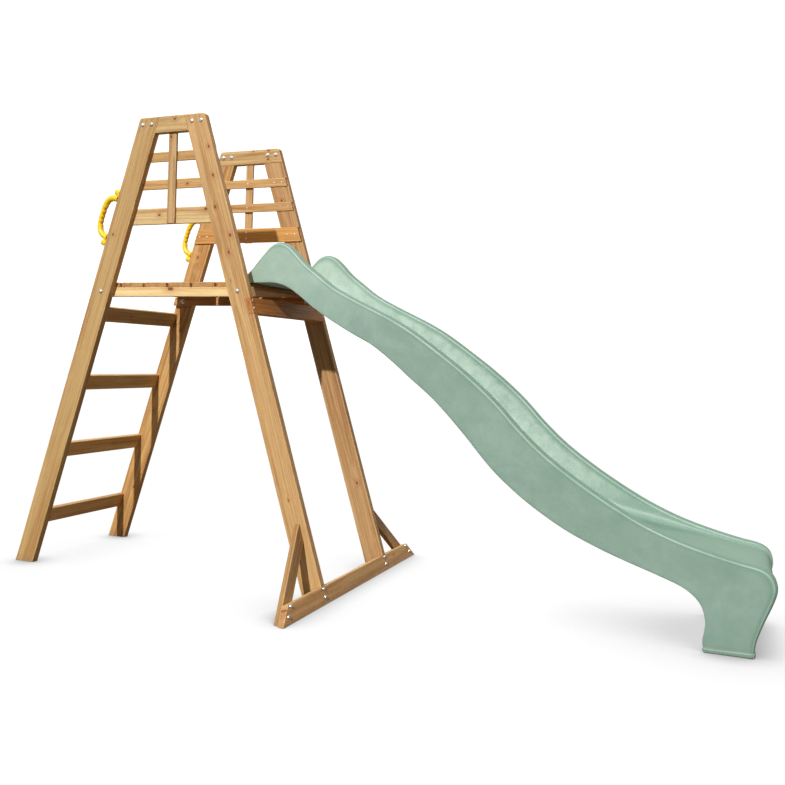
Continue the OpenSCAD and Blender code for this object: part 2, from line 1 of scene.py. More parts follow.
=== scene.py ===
import bpy, bmesh, math, random
import numpy as np
from mathutils import Matrix, Vector, noise


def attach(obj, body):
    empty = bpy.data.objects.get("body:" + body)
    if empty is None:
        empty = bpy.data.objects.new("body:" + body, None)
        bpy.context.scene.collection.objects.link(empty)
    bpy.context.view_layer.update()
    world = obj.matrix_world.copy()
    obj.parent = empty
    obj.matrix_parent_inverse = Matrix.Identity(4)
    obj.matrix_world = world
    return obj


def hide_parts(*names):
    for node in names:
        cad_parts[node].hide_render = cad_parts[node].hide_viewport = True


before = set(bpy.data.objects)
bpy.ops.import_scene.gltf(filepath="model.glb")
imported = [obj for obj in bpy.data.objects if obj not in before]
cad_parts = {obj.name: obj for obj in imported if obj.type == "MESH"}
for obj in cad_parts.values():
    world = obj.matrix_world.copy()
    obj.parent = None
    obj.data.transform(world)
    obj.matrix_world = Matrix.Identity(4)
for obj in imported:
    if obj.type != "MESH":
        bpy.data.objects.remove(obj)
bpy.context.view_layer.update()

# ------------------------------------------------------------------ sizes, mm
LEAN = math.radians(17.6)
SL, CL, TL = math.sin(LEAN), math.cos(LEAN), math.tan(LEAN)
FOOT, FH = 740.0, 1850.0
XO = (2253.0 - FOOT) / 2
YO, LT = 310.0, 30.0
YI = YO - LT
LEGX = 90.0 / CL
DECK = 1190.0
RAILTOP = 1170.0
def xe(z): return FOOT - z * TL
def T(x, y, z): return Vector(((x - XO) / 1000.0, y / 1000.0, z / 1000.0))
ROOT = "root"

# ------------------------------------------------------------------ node trees
class Mat:
    def __init__(self, name):
        self.m = bpy.data.materials.new(name)
        self.m.use_nodes = True
        self.t = self.m.node_tree
        self.t.nodes.clear()
        self.out = self.t.nodes.new("ShaderNodeOutputMaterial")
        self.bsdf = self.t.nodes.new("ShaderNodeBsdfPrincipled")
        self.t.links.new(self.bsdf.outputs[0], self.out.inputs[0])
    def put(self, sock, v):
        if v is None: return
        if isinstance(v, bpy.types.NodeSocket): self.t.links.new(v, sock)
        elif isinstance(v, (tuple, list)):
            n = len(sock.default_value)
            sock.default_value = tuple(v)[:n] if len(v) >= n else tuple(v) + (1.0,) * (n - len(v))
        else:
            try: sock.default_value = v
            except TypeError: sock.default_value = (v,) * len(sock.default_value)
    def math(self, op, a, b=None, c=None, clamp=False):
        n = self.t.nodes.new("ShaderNodeMath"); n.operation = op; n.use_clamp = clamp
        for i, v in enumerate((a, b, c)):
            if v is not None: self.put(n.inputs[i], v)
        return n.outputs[0]
    def vmath(self, op, a, b=None, scale=None):
        n = self.t.nodes.new("ShaderNodeVectorMath"); n.operation = op
        self.put(n.inputs[0], a)
        if b is not None: self.put(n.inputs[1], b)
        if scale is not None: self.put(n.inputs["Scale"], scale)
        return n.outputs["Value"] if op in ("LENGTH", "DOT_PRODUCT", "DISTANCE") else n.outputs["Vector"]
    def mul(self, a, b): return self.math("MULTIPLY", a, b)
    def add(self, a, b): return self.math("ADD", a, b)
    def sub(self, a, b): return self.math("SUBTRACT", a, b)
    def noise(self, vec, scale=1.0, detail=2.0, rough=0.5, dist=0.0, color=False):
        n = self.t.nodes.new("ShaderNodeTexNoise"); n.noise_dimensions = "3D"
        self.put(n.inputs["Vector"], vec); n.inputs["Scale"].default_value = scale
        n.inputs["Detail"].default_value = detail; n.inputs["Roughness"].default_value = rough
        n.inputs["Distortion"].default_value = dist
        return n.outputs["Color"] if color else n.outputs["Fac"]
    def voronoi(self, vec, scale=1.0, feature="F1", dims="3D", rnd=1.0):
        n = self.t.nodes.new("ShaderNodeTexVoronoi"); n.feature = feature; n.voronoi_dimensions = dims
        self.put(n.inputs["Vector"], vec); n.inputs["Scale"].default_value = scale
        n.inputs["Randomness"].default_value = rnd
        return n
    def smooth(self, v, a, b, lo=0.0, hi=1.0):
        n = self.t.nodes.new("ShaderNodeMapRange"); n.interpolation_type = "SMOOTHSTEP"
        for k, x in zip(("Value", "From Min", "From Max", "To Min", "To Max"), (v, a, b, lo, hi)): self.put(n.inputs[k], x)
        return n.outputs[0]
    def lin(self, v, a, b, lo=0.0, hi=1.0):
        n = self.t.nodes.new("ShaderNodeMapRange"); n.clamp = True
        for k, x in zip(("Value", "From Min", "From Max", "To Min", "To Max"), (v, a, b, lo, hi)): self.put(n.inputs[k], x)
        return n.outputs[0]
    def mix(self, f, a, b, blend="MIX"):
        n = self.t.nodes.new("ShaderNodeMix"); n.data_type = "RGBA"; n.blend_type = blend
        n.clamp_factor = True
        self.put(n.inputs[0], f); self.put(n.inputs[6], a); self.put(n.inputs[7], b)
        return n.outputs[2]
    def ramp(self, fac, stops, interp="LINEAR"):
        n = self.t.nodes.new("ShaderNodeValToRGB"); n.color_ramp.interpolation = interp
        while len(n.color_ramp.elements) < len(stops): n.color_ramp.elements.new(0.5)
        for e, (p, c) in zip(n.color_ramp.elements, stops):
            e.position = p; e.color = tuple(c) + (1.0,) if len(c) == 3 else c
        self.put(n.inputs[0], fac)
        return n.outputs[0]
    def attr(self, name, kind="GEOMETRY"):
        n = self.t.nodes.new("ShaderNodeAttribute"); n.attribute_name = name; n.attribute_type = kind
        return n
    def sep(self, v):
        n = self.t.nodes.new("ShaderNodeSeparateXYZ"); self.put(n.inputs[0], v); return n.outputs
    def comb(self, x, y, z):
        n = self.t.nodes.new("ShaderNodeCombineXYZ")
        for i, v in enumerate((x, y, z)): self.put(n.inputs[i], v)
        return n.outputs[0]
    def bump(self, h, strength=0.3, dist=0.001, normal=None):
        n = self.t.nodes.new("ShaderNodeBump"); n.inputs["Strength"].default_value = strength
        n.inputs["Distance"].default_value = dist
        self.put(n.inputs["Height"], h)
        if normal is not None: self.put(n.inputs["Normal"], normal)
        return n.outputs[0]
    def pos(self):
        n = self.t.nodes.new("ShaderNodeNewGeometry"); return n.outputs["Position"]
    def set(self, **kw):
        for k, v in kw.items(): self.put(self.bsdf.inputs[k.replace("_", " ")], v)

def lin(r, g, b):
    f = lambda c: (c / 255.0 / 12.92) if c / 255.0 <= 0.04045 else ((c / 255.0 + 0.055) / 1.055) ** 2.4
    return (f(r), f(g), f(b))

# stained softwood. gc holds metres along the grain, across the board and through it
def wood(name, seed, light=(214, 168, 108), mid=(190, 138, 82), dark=(150, 96, 50), tint=(1, 1, 1), knots=0.5,
         pith=(0.02, -0.07), ring_mm=4.6, gloss=0.0, spots=()):
    """spots: knots given one by one, (along the board m, across it m, radius mm)"""
    m = Mat(name)
    raw = m.attr("gc").outputs["Vector"]
    gc = m.vmath("ADD", raw, (seed * 3.71, seed * 0.0, 0.0))
    u, v, w = m.sep(gc)
    rs = random.Random(seed)
    # knots: cells along the board
    cu, cv = 2.3, 9.0
    kv = m.comb(m.mul(u, cu), m.mul(m.add(v, 0.013 * seed), cv), seed * 1.37)
    vo = m.voronoi(kv, 1.0)
    dl = m.vmath("SUBTRACT", kv, vo.outputs["Position"])
    dx, dy, dz = m.sep(dl)
    ddx = m.mul(dx, 1 / cu * 0.62); ddy = m.mul(dy, 1 / cv)
    wob = m.mul(m.sub(m.noise(gc, 160, 2), 0.5), 0.004)
    d = m.add(m.math("SQRT", m.add(m.mul(ddx, ddx), m.mul(ddy, ddy))), wob)
    cr, cg, cb = m.sep(vo.outputs["Color"])
    has = m.smooth(cr, 1 - knots - 0.02, 1 - knots + 0.02)
    rk = m.add(0.0022, m.mul(m.mul(cg, cg), 0.0058))
    q = m.add(m.math("DIVIDE", d, rk), m.mul(m.sub(1.0, has), 60.0))
    ru, rv, rw = m.sep(raw)
    for su, sv, sr in spots:
        a, b = m.mul(m.sub(ru, su), 0.72), m.sub(rv, sv)
        dd = m.add(m.math("SQRT", m.add(m.mul(a, a), m.mul(b, b))), m.mul(wob, 0.5))
        q = m.math("MINIMUM", q, m.mul(dd, 1000.0 / sr))
    knot = m.smooth(q, 1.25, 0.75)
    core = m.smooth(q, 0.62, 0.25)
    rim = m.smooth(m.math("ABSOLUTE", m.sub(q, 1.0)), 0.32, 0.0)
    halo = m.math("EXPONENT", m.mul(m.math("POWER", m.mul(q, 1 / 3.2), 2.0), -1.0))
    # growth rings round a pith outside the board, slowly wandering along it
    lw = m.sub(m.noise(m.vmath("MULTIPLY", gc, (1.1, 5.0, 5.0)), 1.0, 2, 0.5, color=True), 0.0)
    lx, ly, lz = m.sep(lw)
    pv = m.add(m.add(v, m.mul(m.sub(lx, 0.5), 0.034)), -pith[0] + 0.0)
    pv = m.add(pv, m.mul(m.sub(m.noise(m.comb(m.mul(u, 0.9), 0, seed * 2.1), 1.0, 1), 0.5), 0.05))
    pw = m.add(m.add(w, m.mul(m.sub(ly, 0.5), 0.02)), -pith[1])
    r = m.math("SQRT", m.add(m.mul(pv, pv), m.mul(pw, pw)))
    r = m.add(r, m.mul(halo, 0.0060))
    r = m.add(r, m.mul(m.sub(m.noise(m.vmath("MULTIPLY", gc, (9, 70, 70)), 1.0, 3), 0.5), 0.0022))
    rr = m.math("DIVIDE", r, ring_mm / 1000.0)
    fr = m.math("FRACT", rr)
    year = m.noise(m.comb(m.math("FLOOR", rr), seed * 7.7, 0.0), 3.7, 0)
    late = m.mul(m.ramp(fr, [(0.0, (0.05,) * 3), (0.45, (0.12,) * 3), (0.80, (0.75,) * 3), (0.93, (1.0,) * 3), (1.0, (0.05,) * 3)]), m.lin(year, 0.25, 0.7, 0.35, 1.0))
    # broad streaks, cloudy stain, fine fibres and pores
    st = m.noise(m.vmath("MULTIPLY", gc, (1.5, 42, 42)), 1.0, 4, 0.55, 0.3)
    st2 = m.noise(m.vmath("MULTIPLY", gc, (4.5, 120, 120)), 1.0, 3, 0.5)
    cloud = m.noise(m.vmath("MULTIPLY", gc, (3.0, 9, 9)), 1.0, 4, 0.6)
    fib = m.noise(m.vmath("MULTIPLY", gc, (26, 1100, 1100)), 1.0, 4, 0.65)
    pore = m.smooth(m.noise(m.vmath("MULTIPLY", gc, (60, 1900, 1900)), 1.0, 2), 0.60, 0.72)
    tone = m.add(m.mul(m.lin(st, 0.30, 0.70), 0.62), m.mul(m.lin(st2, 0.3, 0.7), 0.38))
    col = m.ramp(tone, [(0.0, lin(*dark)), (0.30, lin(*mid)), (0.62, lin(*light)), (1.0, lin(*[min(255, c + 10) for c in light]))])
    col = m.mix(m.mul(late, 0.46), col, lin(*[c * 0.80 for c in dark]), "MIX")
    col = m.mix(m.lin(cloud, 0.35, 0.7, 0.0, 0.30), col, (1.0, 0.90, 0.76), "MULTIPLY")
    col = m.mix(1.0, col, m.ramp(fib, [(0.25, (0.84, 0.82, 0.79)), (0.6, (1.0, 1.0, 1.0))]), "MULTIPLY")
    col = m.mix(m.mul(pore, 0.35), col, lin(96, 56, 26))
    # knots
    col = m.mix(m.mul(halo, 0.45), col, lin(158, 92, 44))
    col = m.mix(m.mul(knot, 0.84), col, lin(110, 58, 26))
    col = m.mix(m.mul(rim, 0.70), col, lin(66, 33, 16))
    col = m.mix(m.mul(core, 0.5), col, lin(84, 44, 22))
    # eased edges catch paler wear, flat ends drink more stain
    edge = m.attr("edge").outputs["Fac"]
    endg = m.attr("endg").outputs["Fac"]
    wearn = m.noise(m.vmath("MULTIPLY", gc, (22, 130, 130)), 1.0, 4, 0.6)
    col = m.mix(m.mul(edge, m.lin(wearn, 0.34, 0.62, 0.08, 0.46)), col, lin(228, 190, 138))
    col = m.mix(m.mul(endg, 0.34), col, lin(128, 78, 40))
    # dusty splashes close to the ground, faint rub marks
    pz = m.sep(m.pos())[2]
    dirt = m.mul(m.smooth(m.add(pz, m.mul(m.noise(m.pos(), 38, 4), 0.07)), 0.085, 0.02), 0.42)
    col = m.mix(dirt, col, lin(126, 100, 74))
    rub = m.smooth(m.noise(m.vmath("MULTIPLY", m.pos(), (7, 7, 7)), 1.0, 5, 0.7, 0.8), 0.56, 0.74)
    col = m.mix(m.mul(rub, 0.12), col, lin(233, 205, 160))
    col = m.mix(1.0, col, tuple(tint) + (1.0,), "MULTIPLY")
    hgt = m.add(m.add(m.mul(fib, 0.55), m.mul(late, 0.32)), m.add(m.mul(pore, -0.5), m.mul(m.add(rim, m.mul(core, 0.6)), -0.6)))
    hgt = m.add(hgt, m.mul(m.noise(gc, 22, 3), 0.5))
    rough = m.add(m.add(0.50 - gloss, m.mul(m.noise(m.vmath("MULTIPLY", gc, (6, 60, 60)), 1.0, 3), 0.20)), m.mul(late, -0.06))
    rough = m.add(rough, m.mul(endg, 0.15))
    m.set(Base_Color=col, Roughness=rough, Normal=m.bump(hgt, 0.55, 0.0006))
    m.bsdf.inputs["Specular IOR Level"].default_value = 0.38
    return m.m

# ------------------------------------------------------------------ meshes
def finish_obj(name, me, node, mats, smooth_deg=32, weighted=True):
    o = bpy.data.objects.new(name, me)
    bpy.context.scene.collection.objects.link(o)
    for x in (mats if isinstance(mats, (list, tuple)) else [mats]): me.materials.append(x)
    for p in me.polygons: p.use_smooth = True
    if smooth_deg: me.set_sharp_from_angle(angle=math.radians(smooth_deg))
    if weighted:
        wn = o.modifiers.new("normals", "WEIGHTED_NORMAL"); wn.keep_sharp = True; wn.mode = "FACE_AREA"
    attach(o, ROOT)
    if node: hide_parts(*(node if isinstance(node, (tuple, list)) else [node]))
    return o

def set_gc(me, O, U, V, W, seed=0):
    n = len(me.vertices)
    co = np.empty(n * 3, np.float64); me.vertices.foreach_get("co", co); co = co.reshape(-1, 3)
    M = np.array([list(U), list(V), list(W)])
    g = (co - np.array(list(O))) @ M.T
    a = me.attributes.new("gc", "FLOAT_VECTOR", "POINT")
    a.data.foreach_set("vector", g.astype(np.float32).ravel())

def dense(corners, step=60.0):
    """corner list [(a, b, round, sharp)] -> outline points [(a, b)], edge inset flags, edge roundness flags"""
    n = len(corners)
    P, S, R = [], [], []
    P2 = [Vector((c[0], c[1])) for c in corners]
    rr = [(c[2] if len(c) > 2 else 0.0) for c in corners]
    sh = [(c[3] if len(c) > 3 else 0) for c in corners]
    for i in range(n):
        p0, p, p1 = P2[i - 1], P2[i], P2[(i + 1) % n]
        d0, d1 = (p - p0).normalized(), (p1 - p).normalized()
        r = rr[i]
        cr = d0.x * d1.y - d0.y * d1.x
        if r > 0:
            ang = math.acos(max(-1, min(1, d0.dot(d1))))
            tlen = min(r * math.tan(ang / 2), 0.45 * (p - p0).length, 0.45 * (p1 - p).length)
            ra = tlen / max(math.tan(ang / 2), 1e-6)
            a = p - d0 * tlen
            s = 1 if cr > 0 else -1
            nrm = Vector((-d0.y, d0.x)) * s
            c = a + nrm * ra
            k = max(2, int(math.degrees(ang) / 22))
            arc = []
            for j in range(k + 1):
                th = ang * j / k * s
                v = a - c
                arc.append(c + Vector((v.x * math.cos(th) - v.y * math.sin(th), v.x * math.sin(th) + v.y * math.cos(th))))
        else: arc = [p]
        for j, q in enumerate(arc):
            P.append(q)
            last = j == len(arc) - 1
            S.append(sh[i] if last else 0)
            R.append(0 if last else 1)
    # subdivide long flat edges
    PO, SO, RO = [], [], []
    m = len(P)
    for i in range(m):
        a, b = P[i], P[(i + 1) % m]
        L = (b - a).length
        k = max(1, int(round(L / step)))
        for j in range(k):
            PO.append(a.lerp(b, j / k)); SO.append(S[i]); RO.append(R[i])
    return PO, SO, RO

def inset(P, S, d, orient):
    out = []
    n = len(P)
    for i in range(n):
        e0 = (P[i] - P[i - 1]).normalized(); e1 = (P[(i + 1) % n] - P[i]).normalized()
        n0 = Vector((-e0.y, e0.x)) * orient; n1 = Vector((-e1.y, e1.x)) * orient
        a, b = (0.0 if S[i - 1] else d), (0.0 if S[i] else d)
        det = n0.x * n1.y - n0.y * n1.x
        if abs(det) < 0.2: dl = (n0 * a + n1 * b) / 2 if abs(a - b) > 1e-9 else ((n0 + n1).normalized() * a / max(0.5, (n0 + n1).normalized().dot(n0)))
        else: dl = Vector(((a * n1.y - b * n0.y) / det, (n0.x * b - n1.x * a) / det))
        out.append(P[i] + dl)
    return out

ROUND = [(1.0, 0.0), (0.617, 0.076), (0.293, 0.293), (0.076, 0.617), (0.0, 1.0)]
def prism(name, node, slotname, mat, corners, *args, **kw):
    return finish_obj(name, prism_mesh(name, corners, *args, **kw), node, mat)

def join_mesh(a, b):
    """second mesh added to the first as part of the same board"""
    bm = bmesh.new(); bm.from_mesh(a); bm.from_mesh(b)
    bm.to_mesh(a); bm.free()
    bpy.data.meshes.remove(b)

def prism_mesh(name, corners, O, A, B, N, t, r=3.0, grain=None, jitter=0.22, floor_cut=False, step=60.0, end_cos=0.6, gc_at=None, ends=(1, 1)):
    """board: outline in mm in the plane (O; A, B), thickness t along N, arrises eased by r"""
    P, S, R = dense(corners, step)
    area = sum(P[i - 1].x * P[i].y - P[i].x * P[i - 1].y for i in range(len(P)))
    orient = 1 if area > 0 else -1
    O = Vector(O); A = Vector(A); B = Vector(B); N = Vector(N)
    lo = [(d * r, e * r) for d, e in ROUND] if ends[0] else [(0.0, 0.0)]
    hi = [(d * r, t - e * r) for d, e in reversed(ROUND)] if ends[1] else [(0.0, t)]
    rings = lo + hi
    bm = bmesh.new()
    loops = []
    for d, e in rings:
        q = inset(P, S, d, orient)
        loops.append([bm.verts.new((O + A * p.x + B * p.y + N * e) / 1000.0) for p in q])
    n = len(P)
    edge, faces = [], []
    for k in range(len(loops) - 1):
        isr = k != len(lo) - 1
        for i in range(n):
            j = (i + 1) % n
            f = bm.faces.new((loops[k][i], loops[k][j], loops[k + 1][j], loops[k + 1][i]))
            edge.append(1.0 if (isr and not S[i]) or R[i] else 0.0)
    bm.faces.new(loops[0]); edge.append(0.0)
    bm.faces.new(loops[-1]); edge.append(0.0)
    le = bm.faces.layers.float.new("edge")
    bm.faces.ensure_lookup_table()
    for f, e in zip(bm.faces, edge): f[le] = e
    bmesh.ops.recalc_face_normals(bm, faces=bm.faces)
    # hand-planed irregularity
    sd = sum(ord(c) for c in name) * 0.731
    for v in bm.verts:
        q = v.co * 21.0 + Vector((sd, sd * 0.5, 0))
        v.co += noise.noise_vector(q) * (jitter / 1000.0) + noise.noise_vector(q * 0.17) * (jitter * 1.2 / 1000.0)
    if floor_cut:
        g = bmesh.ops.bisect_plane(bm, geom=bm.verts[:] + bm.edges[:] + bm.faces[:], plane_co=(0, 0, 0.0003), plane_no=(0, 0, 1), clear_inner=True)
        es = [x for x in g["geom_cut"] if isinstance(x, bmesh.types.BMEdge)]
        bmesh.ops.holes_fill(bm, edges=es, sides=0)
    me = bpy.data.meshes.new(name)
    bmesh.ops.remove_doubles(bm, verts=bm.verts, dist=1e-6)
    bmesh.ops.triangulate(bm, faces=[f for f in bm.faces if len(f.verts) > 4], quad_method="BEAUTY", ngon_method="BEAUTY")
    bm.to_mesh(me); bm.free()
    # grain frame
    if grain is None: grain = A
    U = Vector(grain).normalized()
    W = N.normalized()
    V = W.cross(U).normalized()
    ctr = sum((Vector((p.x, p.y)) for p in P), Vector((0, 0))) / n
    G = (O + A * ctr.x + B * ctr.y + N * (t / 2)) / 1000.0
    set_gc(me, G if gc_at is None else Vector(gc_at) / 1000.0, U, V, W)
    a = me.attributes.new("endg", "FLOAT", "FACE")
    a.data.foreach_set("value", np.array([1.0 if abs(p.normal.dot(U)) > end_cos else 0.0 for p in me.polygons], np.float32))
    return me

def lathe_into(bm, O, axis, profile, seg=28, ref=None, edge_layer=None):
    """profile [(radius, height)] turned about axis at O, all metres; closed where the radius is 0"""
    ax = Vector(axis).normalized()
    rx = ax.orthogonal().normalized() if ref is None else Vector(ref).normalized()
    ry = ax.cross(rx)
    rings = []
    for r, h in profile:
        if r < 1e-7: rings.append([bm.verts.new(Vector(O) + ax * h)])
        else: rings.append([bm.verts.new(Vector(O) + ax * h + (rx * math.cos(2 * math.pi * i / seg) + ry * math.sin(2 * math.pi * i / seg)) * r) for i in range(seg)])
    for a, b in zip(rings, rings[1:]):
        if len(a) == 1 and len(b) == 1: continue
        for i in range(seg):
            j = (i + 1) % seg
            if len(a) == 1: bm.faces.new((a[0], b[j], b[i]))
            elif len(b) == 1: bm.faces.new((a[i], a[j], b[0]))
            else: bm.faces.new((a[i], a[j], b[j], b[i]))
    for e in (rings[0], rings[-1]):
        if len(e) > 1:
            try: bm.faces.new(e)
            except ValueError: pass

def hw(name, node, items, mat):
    """items: functions that add to one bmesh"""
    bm = bmesh.new()
    for f in items: f(bm)
    bmesh.ops.recalc_face_normals(bm, faces=bm.faces)
    me = bpy.data.meshes.new(name)
    bm.to_mesh(me); bm.free()
    return finish_obj(name, me, node, mat, smooth_deg=38, weighted=False)

def mm(p): return [(a / 1000.0, b / 1000.0) for a, b in p]

def star_head(bm, O, axis, R, top, hole, depth, seg=36, lobes=6, sharp=1.0, tail=None, roll=0.0):
    """domed head with a driven recess: outer dome profile list tail [(r, h)] ending at the recess mouth"""
    ax = Vector(axis).normalized(); rx = ax.orthogonal().normalized(); ry = ax.cross(rx)
    O = Vector(O)
    def ring(fr, h): return [bm.verts.new(O + ax * h + (rx * math.cos(2 * math.pi * i / seg + roll) + ry * math.sin(2 * math.pi * i / seg + roll)) * fr(2 * math.pi * i / seg)) for i in range(seg)]
    def lobe(th):
        if lobes == 4:      # cross recess
            c = abs(math.cos(2 * th)) ; return hole * (0.42 + 0.58 * c ** 5)
        if sharp: # hexagon
            a = (th % (math.pi / 3)) - math.pi / 6
            return hole * math.cos(math.pi / 6) / math.cos(a)
        return hole * (1 + 0.12 * math.cos(6 * th))
    rings = [ring(lambda th, r=r: r, h) for r, h in tail]
    mouth = tail[-1][1]
    rings.append(ring(lobe, mouth - depth * 0.06))
    rings.append(ring(lambda th: lobe(th) * 0.93, mouth - depth * 0.6))
    rings.append(ring(lambda th: lobe(th) * 0.72, mouth - depth))
    for a, b in zip(rings, rings[1:]):
        for i in range(seg):
            j = (i + 1) % seg
            bm.faces.new((a[i], a[j], b[j], b[i]))
    bm.faces.new(rings[-1]); bm.faces.new(list(reversed(rings[0])))

# ------------------------------------------------------------------ timber
WOODS = {}
_seed = [0]
def W(kind="rail", **kw):
    _seed[0] += 1
    s = _seed[0]
    rs = random.Random(s * 17 + 5)
    k = rs.uniform(-0.07, 0.06)
    warm = rs.uniform(-0.03, 0.03)
    base = dict(light=(202, 165, 110), mid=(182, 139, 87), dark=(148, 100, 55), knots=0.42,
                pith=(rs.uniform(-0.05, 0.05), rs.choice((-1, 1)) * rs.uniform(0.035, 0.10)), ring_mm=rs.uniform(3.4, 5.6),
                tint=(1 + k, 1 + k - warm * 0.5, 1 + k - warm))
    base.update(kw)
    return wood("wood_%s_%02d" % (kind, s), s, **base)

X, Y, Z = Vector((1, 0, 0)), Vector((0, 1, 0)), Vector((0, 0, 1))
UPS = Vector((-SL, 0, CL))          # up along the slide-side face
NS = Vector((CL, 0, SL))            # out of the slide-side face
UPL = Vector((SL, 0, CL))           # up along the ladder-side face
NL = Vector((-CL, 0, SL))
def OT(x, y, z): return Vector((x - XO, y, z))
def PS(s, d): return (FOOT - s * SL - d * CL, s * CL - d * SL)
CS = 1128.0 / CL                    # top of the cross board along the leg
G = 0.35                            # hairline gap at housings

HZ = FH - 65.0
YH = YI + 7.0
GAPS = [(1423.0, 1488.0), (1564.0, 1602.0), (1675.0, 1713.0)]
def leg(name, side, y0, **kw):
    """outer half up to the top, inner half up to the header, inner face cut by the slat housings"""
    near = y0 < 0
    def outline(z0, z1, g0, g1, top_r=0.0):
        a0, a1 = xe(z0), xe(z1)
        r0, r1 = (0.0 if g0 else 1.5), (0.0 if g1 else 2.0)
        if side < 0: return [(-a0, z0, r0, g0), (-(a0 - LEGX), z0, r0), (-(a1 - LEGX), z1, r1, g1), (-a1, z1, top_r or r1)]
        c = [(a0 - LEGX, z0, r0, g0)]
        if z0 > 0: c.append((a0, z0, r0))
        else:
            s0 = 25 * TL
            x, z = PS(s0, 25 + G); c.append((x, 0, 0, 1))
            x, z = PS(65 + G, 25 + G); c.append((x, z, 0, 1))
            x, z = PS(65 + G, 0); c.append((x, z, 0, 0))
            x, z = PS(CS - 65 - G, 0); c.append((x, z, 0, 1))
            x, z = PS(CS - 65 - G, 20 + G); c.append((x, z, 0, 1))
            x, z = PS(CS + G, 20 + G); c.append((x, z, 0, 1))
            x, z = PS(CS + G, 0); c.append((x, z, 0, 0))
        c.append((a1, z1, top_r or r1, g1)); c.append((a1 - LEGX, z1, r1))
        return c
    gr = Vector((side * -SL, 0, CL))
    ctr = OT(side * (xe(FH / 2) - LEGX / 2), y0 + LT / 2, FH / 2)
    e = 0.6
    zs = [0.0] + [q for a, b in GAPS for q in (a - e, b + e)] + [HZ - e]
    parts = [(outline(0, FH, 0, 0, 11.0), 0.0, 15.0, (1, 0)), (outline(0, HZ - e, 0, 1), 15.0, 23.0, (0, 0))]
    for k in range(0, len(zs), 2):
        parts.append((outline(zs[k], zs[k + 1], 1 if k else 0, 1), 23.0, 30.0, (0, 1)))
    base = None
    for c, d0, d1, en in parts:
        ya = y0 + d0 if near else y0 + LT - d1
        me = prism_mesh(name, c, OT(0, ya, 0), X, Z, Y, d1 - d0, r=3.4, grain=gr, step=75, gc_at=ctr, ends=en if near else en[::-1])
        if base is None: base = me
        else: join_mesh(base, me)
    return finish_obj(name, base, name, W("leg", **kw))

leg("leg_ladder_near", -1, -YO, spots=[(0.476, -0.0165, 3.3)], knots=0.36, light=(184, 153, 102), mid=(168, 131, 82), dark=(141, 100, 56))
leg("leg_slide_near", 1, -YO, spots=[(0.821, 0.028, 3.9), (0.706, 0.0166, 4.2), (0.583, -0.0088, 3.9), (0.455, 0.0262, 4.5), (0.393, 0.0023, 3.9)], knots=0.55, light=(205, 168, 116), mid=(185, 144, 93), dark=(155, 111, 62))
leg("leg_ladder_far", -1, YI, spots=[(0.456, -0.0032, 3.6)], knots=0.30, light=(195, 156, 98), mid=(172, 126, 72), dark=(139, 92, 47))
leg("leg_slide_far", 1, YI, spots=[(0.721, -0.006, 4.2), (-0.593, 0.0118, 3.9)], knots=0.35, light=(190, 154, 108), mid=(171, 128, 82), dark=(139, 95, 55))

def horizontal(name, slotname, z0, z1, y0, t, g=0.0, r=3.0, **kw):
    c = [(-xe(z0) + g, z0, 2), (xe(z0) - g, z0, 2), (xe(z1) - g, z1, 2), (-xe(z1) + g, z1, 2)]
    return prism(name, name, slotname, W("rail", **kw), c, OT(0, y0, 0), X, Z, Y, t, r=r, grain=X)

